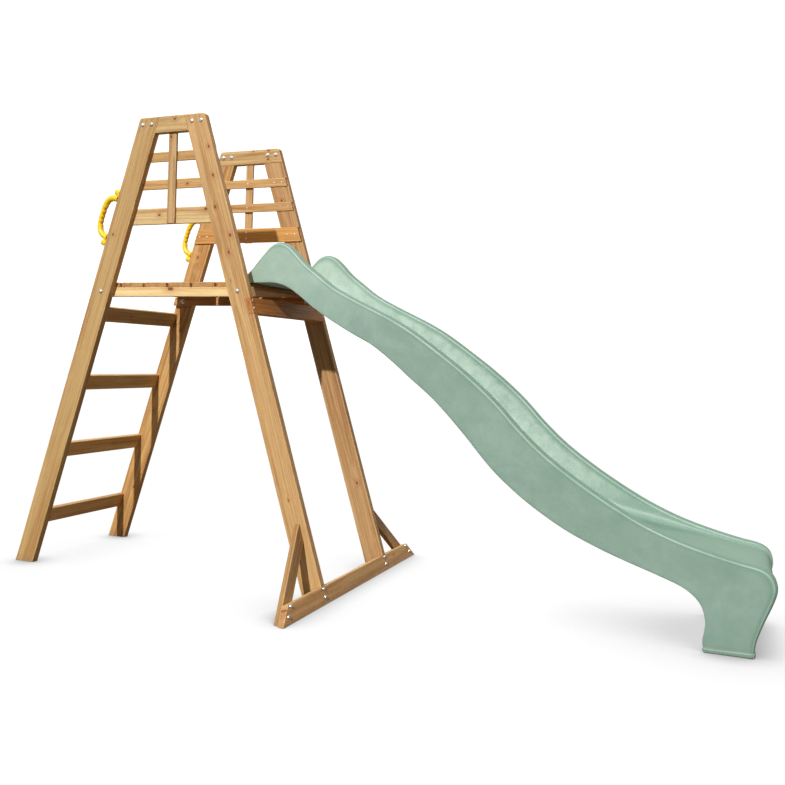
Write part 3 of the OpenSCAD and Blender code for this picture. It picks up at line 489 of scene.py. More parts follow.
for w, s in (("near", -1), ("far", 1)):
    def gy(t): return -YH if s < 0 else YH - t
    mat = W("rail", knots=0.75, light=(202, 174, 123), mid=(184, 148, 97), dark=(144, 101, 55),
            spots=[(0.016, -0.0183, 3.6)] if s < 0 else [(0.101, -0.0277, 4.2), (0.100, 0.0147, 3.6)])
    # header: full thickness between the legs, tongues behind their lapped ends
    hb = [(-xe(HZ) + LEGX + 0.3, HZ, 1.0), (xe(HZ) - LEGX - 0.3, HZ, 1.0), (xe(FH) - LEGX - 0.3, FH, 1.0), (-xe(FH) + LEGX + 0.3, FH, 1.0)]
    ht = [(-xe(HZ), HZ, 2), (xe(HZ), HZ, 2), (xe(FH), FH, 11), (-xe(FH), FH, 11)]
    hc = OT(0, s * (YO - 15), HZ + 32)
    body = prism_mesh("header_" + w, hb, OT(0, -YO if s < 0 else YO - 15, 0), X, Z, Y, 15, r=2.6, grain=X, gc_at=hc, ends=(1, 0) if s < 0 else (0, 1))
    tongue = prism_mesh("header_" + w, ht, OT(0, -YI - 15 + 0.05 if s < 0 else YI, 0), X, Z, Y, 15 - 0.05, r=3.0, grain=X, gc_at=hc, ends=(0, 1) if s < 0 else (1, 0))
    join_mesh(body, tongue)
    finish_obj("header_" + w, body, "header_" + w, mat)
    horizontal("lattice_slat_upper_" + w, "rail_wood", 1675, 1713, gy(12), 12, g=5, r=2.2, knots=0.15)
    horizontal("lattice_slat_lower_" + w, "rail_wood", 1564, 1602, gy(12), 12, g=5, r=2.2, knots=0.4, spots=[(0.067, 0.0016, 3.3)] if s < 0 else [])
    horizontal("guard_rail_" + w, "rail_wood", 1423, 1488, gy(15), 15, g=5, r=2.6,
               **(dict(knots=0.5, spots=[(-0.063, -0.0061, 3.9), (0.157, -0.0232, 4.5)], light=(215, 190, 139), mid=(201, 165, 113), dark=(168, 124, 74)) if s < 0 else
                  dict(knots=0.4, light=(199, 150, 83), mid=(178, 126, 64), dark=(145, 94, 42))))
    # the far deck rail gets darker, redder colours as painted shade
    horizontal("deck_rail_" + w, "rail_wood", 1132, 1170, -YI if s < 0 else YI - 22, 22, r=2.4, knots=0.5, **(dict(light=(238, 215, 161), mid=(222, 191, 134), dark=(189, 147, 92)) if s < 0 else dict(light=(204, 150, 88), mid=(180, 120, 62), dark=(146, 86, 40))))
    prism("lattice_upright_" + w, "lattice_upright_" + w, "rail_wood", W("rail", knots=0.4, light=(190, 156, 110), mid=(172, 132, 86), dark=(142, 96, 54), spots=[(0.165, -0.007, 3.9)] if s < 0 else []),
          [(-18.5, 1423, 1.5), (18.5, 1423, 1.5), (18.5, 1784.6, 1.5), (-18.5, 1784.6, 1.5)], OT(0, -YH - 12 if s < 0 else YH, 0), X, Z, Y, 12, r=2.2, grain=Z)

for i in range(6):
    x0 = -358 + i * 114
    n = "deck_board_%d" % (i + 1)
    # the last deck board, beside the slide, gets oranger colours as painted light on its end edge
    prism(n, n, "deck_wood", W("deck", knots=0.55, **(dict(light=(222, 168, 100), mid=(204, 142, 74), dark=(170, 104, 46)) if i == 5 else {})), [(0, -YI + 0.5, 2), (102, -YI + 0.5, 2), (102, YI - 0.5, 2), (0, YI - 0.5, 2)],
          OT(x0, 0, RAILTOP), X, Y, Z, 20, r=3.2, grain=Y)

for i in range(4):
    z = 219 + 293 * i
    n = "rung_%d" % (i + 1)
    prism(n, n, "rung_wood", W("rung", knots=0.4, light=(220, 182, 124), mid=(200, 156, 98), dark=(166, 114, 64)), [(-YI, -65, 0.5), (YI, -65, 0.5), (YI, 0, 0.5), (-YI, 0, 0.5)],
          OT(-xe(z), 0, z), Y, UPL, -NL, 20, r=3.0, grain=Y)

prism("cross_board", "cross_board", "base_wood", W("base", knots=0.5, light=(212, 146, 82), mid=(188, 120, 60), dark=(148, 86, 40)),
      [(-YO, CS - 65, 1), (YO, CS - 65, 1), (YO, CS, 1), (-YO, CS, 1)], OT(FOOT, 0, 0), Y, UPS, -NS, 20, r=2.2, grain=Y)
prism("base_board", "base_board", "base_wood", W("base", knots=0.6, light=(220, 178, 124), mid=(198, 152, 98), dark=(163, 110, 62)),
      [(-YO - 320, 0, 2), (YO + 320, 0, 2), (YO + 255, 65, 2), (-YO - 255, 65, 2)],
      OT(FOOT, 0, 0), Y, UPS, -NS, 25, r=2.6, grain=Y, floor_cut=True)
BT = 314.0
for w, s in (("near", -1), ("far", 1)):
    bw = 52 * math.sqrt(2)
    n = "base_brace_" + w
    prism(n, n, "base_wood", W("base", knots=0.35, light=(174, 140, 92), mid=(156, 116, 72), dark=(126, 84, 46)),
          [(s * YO, BT, 2), (s * YO, BT - bw, 2), (s * (YO + BT - bw + 12), -12, 0), (s * (YO + BT + 12), -12, 0)],
          OT(FOOT, 0, 0) - NS * (25 + 0.3), Y, UPS, -NS, 22, r=2.8, grain=Y * s - UPS, floor_cut=True)

# ------------------------------------------------------------------ slide
# top edge x z, chute x z, lower edge x z, crown share, lip thickness share, nose rounding share, foot flare mm
ST = [
    [252, 1200.6, 252, 1200, 252, 1190, 0, 1, 0, 0], [298, 1201, 298, 1200, 298, 1190, 0, 1, 0, 0],
    [320, 1222, 314, 1200, 308, 1190, 0.3, 0.5, 0, 0], [350, 1251, 337, 1200, 332, 1190, 0.7, 0, 0, 0],
    [390, 1293, 364, 1200, 360, 1190, 1, 0, 0, 0], [424, 1326, 396, 1200, 393, 1190, 1, 0, 0, 0],
    [458, 1337, 428, 1199, 430, 1190, 1, 0, 0, 0], [492, 1326, 464, 1194, 466, 1184, 1, 0, 0, 0],
    [525, 1298, 503, 1181, 503, 1170, 1, 0, 0, 0], [566, 1257, 550, 1152, 550, 1140, 1, 0, 0, 0],
    [623, 1213, 610, 1110, 610, 1095, 1, 0, 0, 0], [692, 1164, 685, 1061, 685, 1048, 1, 0, 0, 0],
    [775, 1121, 772, 1014, 772, 1000, 1, 0, 0, 0], [859, 1082, 857, 973, 857, 957, 1, 0, 0, 0],
    [935, 1046, 931, 930, 931, 905, 1, 0, 0, 0], [1011, 1003, 1011, 880, 1011, 841, 1, 0, 0, 0],
    [1110, 936, 1110, 805, 1110, 761, 1, 0, 0, 0], [1215, 859, 1215, 718, 1215, 655, 1, 0, 0, 0],
    [1323, 767, 1323, 622, 1320, 539, 1, 0, 0, 0], [1415, 672, 1412, 536, 1407, 463, 1, 0, 0, 0],
    [1500, 595, 1500, 461, 1490, 404, 1, 0, 0, 0], [1600, 522, 1600, 398, 1588, 346, 1, 0, 0, 0],
    [1710, 453, 1705, 358, 1695, 298, 1, 0, 0, 0], [1820, 393, 1812, 335, 1795, 261, 1, 0, 0, 0],
    [1930, 346, 1925, 317, 1890, 229, 1, 0, 0.05, 0], [2040, 312, 2040, 298, 1975, 196, 1, 0, 0.1, 0],
    [2140, 290, 2140, 281, 2024, 154, 0.8, 0, 0.3, 0], [2200, 281, 2196, 271, 2042, 103, 0.6, 0, 0.6, 0],
    [2233, 266, 2228, 257, 2040, 66, 0.4, 0, 0.9, 0], [2249, 239, 2243, 234, 2037, 48, 0.2, 0, 1, 0],
    [2251.3, 210, 2245.5, 207, 2036, 40, 0.1, 0, 1, 0], [2240, 172, 2234, 172, 2036, 34, 0.1, 0, 1, 0],
    [2215, 110, 2209, 110, 2036, 28, 0.1, 0, 0.9, 0], [2196, 55, 2190, 55, 2037, 22, 0.1, 0, 0.8, 0],
    [2190.5, 21, 2184.5, 21, 2038, 17.5, 0.1, 0, 0.7, 0], [2190, 17, 2184, 17, 2038.5, 15, 0.1, 0, 0.7, 0.3],
    [2189.6, 14.5, 2184, 14.5, 2039, 13, 0.1, 0, 0.7, 3.4], [2189, 8, 2183.6, 8, 2041, 8, 0.1, 0, 0.7, 4.4],
    [2188.4, 2.5, 2183, 2.5, 2043, 2.5, 0.1, 0, 0.7, 3.8], [2188, 0, 2183, 0, 2044, 0, 0.1, 0, 0.7, 1.6]]

def catmull(P, ns):
    P = np.array(P, float); out = []
    m = len(P) - 1
    for i in range(m):
        a, b, c, d = P[max(i - 1, 0)], P[i], P[i + 1], P[min(i + 2, m)]
        for k in range(ns(i)):
            t = k / ns(i)
            out.append(0.5 * (2 * b + (c - a) * t + (2 * a - 5 * b + 4 * c - d) * t * t + (3 * b - a - 3 * c + d) * t ** 3))
    out.append(P[m])
    return np.array(out)

def slide_mesh():
    R = catmull(ST, lambda i: 3 if i >= len(ST) - 6 else 9)
    n = len(R)
    R[:, 6:] = np.clip(R[:, 6:], 0, None)
    Tt, Bb, Ll = R[:, 0:2], R[:, 2:4], R[:, 4:6]
    def normals(C):
        t = np.empty_like(C); t[1:-1] = C[2:] - C[:-2]; t[0] = (1, 0); t[-1] = (0, -1)
        t /= np.linalg.norm(t, axis=1)[:, None]
        return np.stack([-t[:, 1], t[:, 0]], 1)
    nT, nB = normals(Tt), normals(Bb)
    tl_ = Ll[-1] * 0
    h = np.linalg.norm(Tt - Bb, axis=1); f = np.minimum(1, h / 50)
    WW, SK, HW = 44.0, 5.0, 230.0
    rimy = [0.0, 0.5, 1.4, 2.8, 4.8, 7.4, 10.5, 14.0, 18.0, 22.0]
    ring = []      # per column: (y in from the side [n], x, z) arrays; inner flag
    reg = []       # bed mask, rim mask
    # side face, from the lower edge up to the rim
    rf = 3.0 + 13.0 * R[:, 8]
    def col(y, p): return np.column_stack([p[:, 0], np.full(n, 1.0) * y, p[:, 1]])
    outer, mask = [], []
    top0 = Tt - nT * (rf * np.maximum(f, R[:, 8]))[:, None]
    fl = R[:, 9]
    low = Ll.copy()
    for k in (0.0, 0.35, 0.75):     # small roll on the cut lower edge
        outer.append(col(1.6 * (1 - k / 0.75) ** 2, low + (top0 - low) * 0 + nT * 0 + np.array([0.0, 0.0]) + (top0 - low) / np.maximum(np.linalg.norm(top0 - low, axis=1), 1e-3)[:, None] * (k * 2.4))); mask.append((0, 0))
    for k in (0.06, 0.2, 0.4, 0.6, 0.8, 0.93):
        bulge = math.sin(math.pi * k) * 1.2
        outer.append(col(-0.0 + 0.0 * bulge, low + (top0 - low) * k)); mask.append((0, 0))
    c = 10.0 * R[:, 6]
    def rise(y, r_edge):
        x = 1 - y / 22.0
        p = 2.9
        return -r_edge + (r_edge + c) * (1 - x ** p) ** (1 / (0.62 * p))
    edge_in = 3.0 * f
    for y in rimy:
        # at the nose the outer corner is fuller
        yy = y * (1 + 0.0 * R[:, 8])
        outer.append(np.column_stack([(Tt + nT * rise(y, rf * np.maximum(f, R[:, 8]))[:, None])[:, 0], np.full(n, y), (Tt + nT * rise(y, rf * np.maximum(f, R[:, 8]))[:, None])[:, 1]])); mask.append((0, 1))
    for y in reversed(rimy[:-1]):
        q = Tt + nT * rise(y, edge_in)[:, None]
        outer.append(np.column_stack([q[:, 0], np.full(n, WW - y), q[:, 1]])); mask.append((0, 1))
    # chute wall and its corner
    g0 = 36.0 / np.maximum(h, 50)
    a0 = (Tt + nT * rise(0.0, edge_in)[:, None])
    c0 = Bb + (Tt - Bb) * g0[:, None]
    for k in (0.25, 0.5, 0.75):
        outer.append(col(WW, a0 + (c0 - a0) * k)); mask.append((0.6, 0))
    for th in np.linspace(0, math.pi / 2, 9):
        q = Bb + (Tt - Bb) * (g0 * (1 - math.sin(th)))[:, None]
        outer.append(col(WW + 36 * (1 - math.cos(th)), q)); mask.append((0.6 + 0.4 * th / 1.6, 0))
    for y in (100, 125, 150, 178, 205, 230):
        dip = 2.2 * (1 - ((230 - y) / 150.0) ** 2) * f
        outer.append(col(y, Bb - nB * dip[:, None])); mask.append((1.0, 0))
    # inner side of the skin
    tk = SK + 3.0 * R[:, 7]
    inner = []
    for j, q in enumerate(outer):
        y = q[0, 1]
        p = q[:, [0, 2]]
        if j < 3: inner.append(col(SK - 1.6 * (j / 2.0 * 0 + (1 - j / 2.0)) * 0.9, p)); continue
        if j < 9: inner.append(col(SK, low + (top0 - nT * tk[:, None] * 0.8 - low) * ((0.06, 0.2, 0.4, 0.6, 0.8, 0.93)[j - 3]))); continue
        if j < 9 + 19:
            yy = 22 + (y - 22) * (17.0 / 22.0)
            inner.append(col(yy, p - nT * tk[:, None])); continue
        if j < 9 + 19 + 3: inner.append(col(WW - SK, p - nT * 0)); continue
        if j < 9 + 19 + 3 + 9:
            th = (math.pi / 2) * (j - 31) / 8.0
            inner.append(col(y - SK * math.cos(th), p - nB * (tk * math.sin(th))[:, None])); continue
        inner.append(col(y, p - nB * tk[:, None]))
    # foot flare
    def flare(cols):
        out = []
        for q in cols:
            q = q.copy(); y = q[:, 1]
            q[:, 1] = y - fl * np.clip(1 - y / 22.0, 0, 1)
            mid = (Tt[:, 0] + Ll[:, 0]) / 2
            half = np.maximum((Tt[:, 0] - Ll[:, 0]) / 2, 1)
            q[:, 0] += fl * np.clip((q[:, 0] - mid) / half, -1, 1)
            out.append(q)
        return out
    outer = flare(outer)
    L = len(outer)
    cols, msk = [], []
    def side(cs, s): return [np.column_stack([q[:, 0], s * (HW - q[:, 1]), q[:, 2]]) for q in cs]
    cols += side(outer, -1) + side(outer[:-1], 1)[::-1]
    msk += mask + mask[:-1][::-1]
    ryv = [float(q[5, 1]) for q in outer]; ryv = ryv + ryv[:-1][::-1] + [0.0] * (2 * L - 1)
    cols += side(inner, 1) + side(inner[:-1], -1)[::-1]
    msk += [(0, 0)] * (2 * L - 1)
    A = np.stack(cols, 1)                       # n x m x 3
    m = A.shape[1]
    A[:, :, 0] -= XO
    V = (A / 1000.0).reshape(-1, 3)
    V[:, 2] = np.maximum(V[:, 2], 0.0)
    F = []
    for i in range(n - 1):
        for j in range(m):
            k = (j + 1) % m
            F.append((i * m + j, i * m + k, (i + 1) * m + k, (i + 1) * m + j))
    half = 2 * L - 1
    for j in range(half - 1):
        a, b, c2, d = j, j + 1, m - 2 - j, m - 1 - j
        F.append((b, a, d, c2))
        o = (n - 1) * m
        F.append((o + a, o + b, o + c2, o + d))
    me = bpy.data.meshes.new("slide_moulding")
    me.from_pydata([tuple(v) for v in V], [], F)
    me.validate()
    bm = bmesh.new(); bm.from_mesh(me)
    # attributes before cleaning
    s_len = np.concatenate([[0], np.cumsum(np.linalg.norm(np.diff(Bb, axis=0), axis=1))]) / 1000.0
    lq = bm.verts.layers.float.new("ry"); la = bm.verts.layers.float_vector.new("gc"); lm = bm.verts.layers.float.new("bed"); lr = bm.verts.layers.float.new("rim")
    bm.verts.ensure_lookup_table()
    for i in range(n):
        for j in range(m):
            v = bm.verts[i * m + j]
            v[la] = Vector((s_len[i], A[i, j, 1] / 1000.0, A[i, j, 2] / 1000.0)); v[lm] = msk[j][0]; v[lr] = msk[j][1]; v[lq] = ryv[j]
    bmesh.ops.remove_doubles(bm, verts=bm.verts, dist=2e-5)
    bmesh.ops.recalc_face_normals(bm, faces=bm.faces)
    bm.to_mesh(me); bm.free()
    return me

def plastic_sage():
    m = Mat("hdpe_sage")
    p = m.pos()
    gc = m.attr("gc").outputs["Vector"]; bed = m.attr("bed").outputs["Fac"]; rim = m.attr("rim").outputs["Fac"]
    c1 = m.noise(p, 5.5, 5, 0.62, 0.6)
    c2 = m.noise(p, 24, 4, 0.6)
    c3 = m.noise(p, 160, 3, 0.6)
    t = m.add(m.mul(m.lin(c1, 0.32, 0.68), 0.55), m.add(m.mul(m.lin(c2, 0.3, 0.7), 0.30), m.mul(m.lin(c3, 0.3, 0.7), 0.15)))
    # painted light: the moulding is mixed to a lighter sage towards its top, around the ear
    hi = m.smooth(m.add(m.sep(p)[2], m.mul(m.sub(c1, 0.5), 0.25)), 0.95, 1.24)
    cola = m.ramp(t, [(0.0, lin(118, 146, 134)), (0.5, lin(127, 154, 143)), (1.0, lin(139, 165, 154))])
    sage_painted_light = m.ramp(t, [(0.0, lin(138, 167, 154)), (0.5, lin(150, 176, 165)), (1.0, lin(168, 190, 180))])
    col = m.mix(hi, cola, sage_painted_light)
    # rubbed, paler track down the chute with fine lengthwise scratches
    scr = m.noise(m.vmath("MULTIPLY", gc, (2.2, 420, 1.0)), 1.0, 4, 0.7)
    patch = m.noise(m.vmath("MULTIPLY", gc, (2.6, 9, 1.0)), 1.0, 3)
    sc = m.mul(m.mul(m.smooth(scr, 0.53, 0.70), m.smooth(patch, 0.42, 0.68)), bed)
    col = m.mix(m.mul(sc, 0.30), col, lin(196, 216, 204))
    # painted shade darkens the top of the rolled rim, and painted highlights run along its outer arris on the near wall
    # and its inner arris on the far wall, none at the nose
    ry = m.attr("ry").outputs["Fac"]
    px, py, pz = m.sep(p)
    nose = m.smooth(px, 2.08, 2.24)
    col = m.mix(m.mul(rim, 0.52), col, lin(86, 128, 111))
    far = m.smooth(py, -0.02, 0.02)
    arris_painted_highlight = m.add(m.mul(m.smooth(m.math("ABSOLUTE", m.sub(ry, 1.6)), 1.8, 0.3), m.sub(1.0, far)),
                  m.mul(m.smooth(m.math("ABSOLUTE", m.sub(ry, 42.0)), 2.2, 0.4), far))
    arris_painted_highlight = m.mul(arris_painted_highlight, m.sub(1.0, nose))
    col = m.mix(m.mul(m.mul(arris_painted_highlight, rim), m.lin(c1, 0.3, 0.7, 0.2, 0.6)), col, lin(190, 210, 200))
    # painted shade: the rim is darker still at the nose
    col = m.mix(m.mul(m.mul(nose, rim), 0.55), col, lin(84, 124, 108))
    # painted light: the inside of the far wall, which faces the sun, is mixed paler, mottled by noise
    ny = m.sep(m.t.nodes.new("ShaderNodeNewGeometry").outputs["Normal"])[1]
    wall = m.mul(m.mul(m.smooth(py, 0.10, 0.16), m.smooth(ny, -0.25, -0.75)), m.mul(m.smooth(pz, 0.36, 0.50), m.sub(1.0, rim)))
    col = m.mix(m.mul(wall, m.lin(c2, 0.35, 0.65, 0.40, 0.85)), col, lin(176, 198, 187))
    # painted shade: the flat of the chute is a little darker green where it lies level near the exit
    col = m.mix(m.mul(m.mul(m.smooth(bed, 0.75, 1.0), m.smooth(pz, 0.46, 0.34)), 0.5), col, lin(92, 138, 116))
    fleck = m.smooth(m.noise(p, 620, 2), 0.66, 0.74)
    col = m.mix(m.mul(fleck, 0.18), col, lin(196, 218, 208))
    # hair scuffs and grime at the foot
    sx = m.noise(m.vmath("MULTIPLY", p, (55, 40, 310)), 1.0, 3, 0.8, 1.5)
    scuff = m.mul(m.smooth(sx, 0.66, 0.73), m.smooth(m.noise(p, 3.1, 2), 0.48, 0.62))
    col = m.mix(m.mul(scuff, 0.28), col, lin(205, 222, 212))
    pz = m.sep(p)[2]
    grime = m.smooth(m.add(pz, m.mul(m.noise(p, 30, 4), 0.05)), 0.075, 0.02)
    col = m.mix(m.mul(grime, 0.30), col, lin(104, 116, 100))
    rough = m.add(m.add(0.47, m.mul(m.sub(c2, 0.5), 0.16)), m.add(m.mul(sc, 0.16), m.mul(m.sub(c3, 0.5), 0.12)))
    peel = m.voronoi(p, 900, "SMOOTH_F1")
    h = m.add(m.mul(peel.outputs["Distance"], 0.30), m.add(m.mul(m.noise(p, 240, 3), 0.55), m.mul(m.noise(p, 34, 3), 1.5)))
    n1 = m.bump(h, 0.35, 0.0007)
    n1 = m.bump(m.add(m.mul(m.noise(p, 7.5, 2), 1.0), m.mul(sc, -0.02)), 0.55, 0.006, n1)
    m.set(Base_Color=col, Roughness=rough, Normal=n1, Subsurface_Weight=0.06, Subsurface_Scale=0.006)
    m.bsdf.inputs["Subsurface Radius"].default_value = (0.7, 1.0, 0.8)
    m.bsdf.inputs["Specular IOR Level"].default_value = 0.36
    return m.m

SAGE = plastic_sage()
sme = slide_mesh()
finish_obj("slide_moulding", sme, "slide_moulding", SAGE, smooth_deg=50, weighted=False)

# ------------------------------------------------------------------ metal and handle materials
def zinc(name, seed, dull=0.0):
    m = Mat(name)
    p = m.vmath("ADD", m.pos(), (seed * 1.7, 0, 0))
    n1 = m.noise(p, 260, 4, 0.6); n2 = m.noise(p, 1500, 3); n3 = m.noise(p, 60, 2)
    col = m.ramp(m.add(m.mul(n1, 0.7), m.mul(n3, 0.3)), [(0.30, (0.50, 0.51, 0.53)), (0.5, (0.66, 0.67, 0.69)), (0.72, (0.78, 0.79, 0.80))])
    rust = m.mul(m.smooth(m.noise(p, 90, 5, 0.7), 0.64, 0.74), 0.35)
    col = m.mix(rust, col, (0.30, 0.19, 0.10))
    m.set(Base_Color=col, Metallic=m.sub(0.96, m.mul(rust, 0.8)), Roughness=m.add(0.22 + dull, m.mul(n1, 0.22)),
          Normal=m.bump(m.add(n1, m.mul(n2, 0.5)), 0.25, 0.0003))
    return m.m

def yellow():
    m = Mat("handle_yellow")
    p = m.pos()
    c = m.noise(p, 30, 4, 0.6); c2 = m.noise(p, 300, 3)
    col = m.ramp(m.add(m.mul(c, 0.8), m.mul(c2, 0.2)), [(0.3, lin(226, 190, 20)), (0.6, lin(238, 208, 34)), (0.8, lin(246, 220, 62))])
    # painted shade: the finger grooves are mixed to a dark orange
    groove_painted_shade = m.attr("groove").outputs["Fac"]
    col = m.mix(m.mul(groove_painted_shade, 0.8), col, lin(196, 104, 6))
    rub = m.smooth(m.noise(m.vmath("MULTIPLY", p, (120, 120, 24)), 1.0, 4, 0.7), 0.60, 0.72)
    col = m.mix(m.mul(rub, 0.22), col, lin(255, 240, 150))
    m.set(Base_Color=col, Roughness=m.add(0.30, m.mul(c2, 0.18)), Normal=m.bump(m.add(m.mul(c2, 0.6), m.mul(m.noise(p, 900, 2), 0.4)), 0.25, 0.0004),
          Subsurface_Weight=0.08, Subsurface_Scale=0.004)
    return m.m

ZINC = zinc("zinc_plated", 1)
ZINC2 = zinc("zinc_dull", 2, 0.12)
YELLOW = yellow()
def beech():
    return wood("dowel_beech", 77, light=(222, 184, 134), mid=(204, 160, 108), dark=(170, 124, 78), knots=0.0, ring_mm=1.6)

# ------------------------------------------------------------------ grab handles
def handle(w, s):
    yc = s * (YO - LT / 2)
    def HP(sd, n, y=0.0): # s along the leg, n out from its edge
        return Vector(((-FOOT + sd * SL - n * CL) - XO, yc + y, sd * CL + n * SL)) / 1000.0
    path = catmull([(1604, -0.5, 13.5), (1604, 8, 13), (1603, 20, 12.6), (1599, 36, 12.4), (1588, 50, 12.0), (1569, 58.5, 11.6), (1547, 61.3, 11.4),
                    (1522, 62.2, 11.4), (1496, 61.8, 11.4), (1474, 58, 11.6), (1456, 48.5, 12.0), (1446, 35, 12.4), (1441.5, 20, 12.6), (1440, 8, 13), (1440, -0.5, 13.5)], lambda i: 10)
    bm = bmesh.new()
    gl = bm.verts.layers.float.new("groove")
    seg = 28
    rings = []
    for i, (sd, n, r) in enumerate(path):
        a = path[max(i - 1, 0)]; b = path[min(i + 1, len(path) - 1)]
        t = Vector((b[0] - a[0], b[1] - a[1])).normalized()
        nn = Vector((-t.y, t.x))
        if nn.dot(Vector((1522 - sd, 20 - n))) < 0: nn = -nn      # towards the leg side
        ring = []
        flare = 1.0 + 0.42 * math.exp(-((n + 0.5) / 5.0) ** 2)
        for j in range(seg):
            th = 2 * math.pi * j / seg
            ci, co = math.cos(th), math.sin(th)
            rr = r * flare
            inner = max(0.0, ci)
            dip, g = 0.0, 0.0
            for k, gs in enumerate((1547, 1527, 1507, 1487)):
                q = math.exp(-((sd - gs) / 6.6) ** 2)
                dip += 2.6 * q * (inner ** 0.8); g += q * inner
            for gs in (1557, 1537, 1517, 1497, 1477):
                dip -= 0.9 * math.exp(-((sd - gs) / 4.4) ** 2) * (inner ** 0.8)
            oval = 1.0 + 0.06 * abs(co)
            rr = (rr - dip) * oval
            v = bm.verts.new(HP(sd + nn.x * ci * rr, n + nn.y * ci * rr, co * rr))
            v[gl] = min(1.0, g)
            ring.append(v)
        rings.append(ring)
    for a, b in zip(rings, rings[1:]):
        for j in range(seg):
            k = (j + 1) % seg
            bm.faces.new((a[j], a[k], b[k], b[j]))
    bm.faces.new(rings[0]); bm.faces.new(rings[-1])
    # foot plates with rounded outline and screw bosses
    for top in (1, -1):
        sc = 1522 + top * 106
        s_in = 1522 + top * 66
        out = []
        for j in range(48):
            th = 2 * math.pi * j / 48
            e = 3.2
            cx, cy = math.cos(th), math.sin(th)
            ux = math.copysign(abs(cx) ** (2 / e), cx); uy = math.copysign(abs(cy) ** (2 / e), cy)
            out.append(((sc + top * 12.5 + s_in) / 2 + ux * (abs(sc + top * 12.5 - s_in) / 2), uy * 14.6))
        prof = [(0.0, 0.2), (0.0, 3.2), (0.35, 4.4), (1.1, 5.4), (2.2, 6.0)]
        loops = []
        cxs = sum(o[0] for o in out) / 48
        for d, n in prof:
            loops.append([bm.verts.new(HP(cxs + (a - cxs) * (1 - d / 26.0), n, b * (1 - d / 14.6))) for a, b in out])
        for a, b in zip(loops, loops[1:]):
            for j in range(48):
                k = (j + 1) % 48
                bm.faces.new((a[j], a[k], b[k], b[j]))
        bm.faces.new(loops[0]); bm.faces.new(loops[-1])
        ax = (HP(sc, 1) - HP(sc, 0)).normalized()
        dome = [(0, 0.3), (14.4, 0.3), (14.2, 5), (13.4, 9), (12.9, 14), (12.7, 19.5), (12.3, 22.5), (11.4, 25.0), (9.8, 26.8), (7.6, 28.0), (5.9, 28.5)]
        lathe_into(bm, HP(sc, 0), ax, mm(dome + [(5.4, 28.3), (5.2, 27.6), (5.2, 21.0), (0, 21.0)]), seg=40)
    bmesh.ops.recalc_face_normals(bm, faces=bm.faces)
    me = bpy.data.meshes.new("grab_handle_" + w)
    bm.to_mesh(me); bm.free()
    return finish_obj("grab_handle_" + w, me, "grab_handle_" + w, YELLOW, smooth_deg=44, weighted=False)

handle("near", -1)
handle("far", 1)

# ------------------------------------------------------------------ hardware
def V3(x, y, z): return Vector((x - XO, y, z)) / 1000.0
bolt_z = FH - 29
hx = [s * (xe(bolt_z) - d) for s in (-1, 1) for d in (24, 66)]
CARRIAGE = mm([(0, -0.5), (8.6, -0.5), (8.7, 0.3), (8.5, 1.2), (8.0, 2.3), (7.0, 3.5), (5.6, 4.5), (3.6, 5.2), (1.6, 5.45), (0, 5.5)])
def washer(R, t, r_in=0.0):
    return mm([(r_in, 0), (R - 0.4, 0), (R, 0.35), (R, t - 0.35), (R - 0.4, t), (r_in, t)]) if r_in else mm([(0, 0), (R - 0.4, 0), (R, 0.35), (R, t - 0.35), (R - 0.4, t), (0, t)])
def carriage(x, y, z, s):
    def f(bm):
        ax = (0, s, 0)
        lathe_into(bm, V3(x, y, z), ax, mm([(0, -0.3), (8.9, -0.3), (9.0, 0.2), (8.9, 0.6), (0, 0.6)]), seg=36)
        star_head(bm, V3(x, y, z), ax, 8.4, 5.4, 0.0026, 0.0026, tail=mm([(8.4, 0.3), (8.3, 1.2), (7.8, 2.4), (6.8, 3.7), (5.3, 4.7), (3.6, 5.2)]), roll=x * 0.37 + z)
    return f
def domenut(x, y, z, s):
    def f(bm):
        ax = (0, s, 0)
        lathe_into(bm, V3(x, y, z), ax, washer(10.0, 1.2), seg=36)
        star_head(bm, V3(x, y, z) + Vector(ax) * 0.0011, ax, 7.6, 8.0, 0.0030, 0.0034,
                  tail=mm([(7.8, 0.0), (7.9, 0.8), (7.7, 2.6), (7.2, 4.4), (6.2, 6.0), (4.9, 6.9), (4.0, 7.2)]), roll=x * 0.71)
    return f
hw("header_bolts", "header_bolts", [carriage(x, s * YO, bolt_z, s) for s in (-1, 1) for x in hx], ZINC)
hw("header_nuts", "header_nuts", [domenut(x, s * YI, bolt_z, -s) for s in (-1, 1) for x in hx], ZINC)
hw("deck_rail_bolts", "deck_rail_bolts", [carriage(x, s * YO, 1151, s) for s in (-1, 1) for x in (-326, 326)], ZINC)
hw("deck_rail_nuts", "deck_rail_nuts", [domenut(x, s * (YI - 22), 1151, -s) for s in (-1, 1) for x in (-326, 326)], ZINC)

def screw_at(P, ax, R=3.7, lobes=4, h=1.9, roll=0.3):
    def f(bm):
        star_head(bm, P, ax, R, h, R * 0.55 / 1000.0, 0.0014,
                  tail=mm([(R, 0.0), (R * 0.99, h * 0.35), (R * 0.9, h * 0.68), (R * 0.72, h * 0.92), (R * 0.6, h)]), lobes=lobes, roll=roll)
        lathe_into(bm, P, [-c for c in ax], mm([(0, -0.2), (2.0, -0.2), (2.0, 14), (0, 16)]), seg=16)
    return f
it = []
k = 0
for s in (-1, 1):
    for z, t in ((1694, 12), (1583, 12), (1455.5, 15)):
        for x in [q * (xe(z) - d) for q in (-1, 1) for d in (26, 66)] + ([0] if t == 12 else []):
            k += 1
            it.append(screw_at(V3(x, s * (YH - t), z), (0, -s, 0), roll=k * 1.1))
    for z in (1441, 1470):
        k += 1
        it.append(screw_at(V3(0, s * (YH - 15), z), (0, -s, 0), roll=k * 1.3))
hw("lattice_screws", "lattice_screws", it, ZINC2)

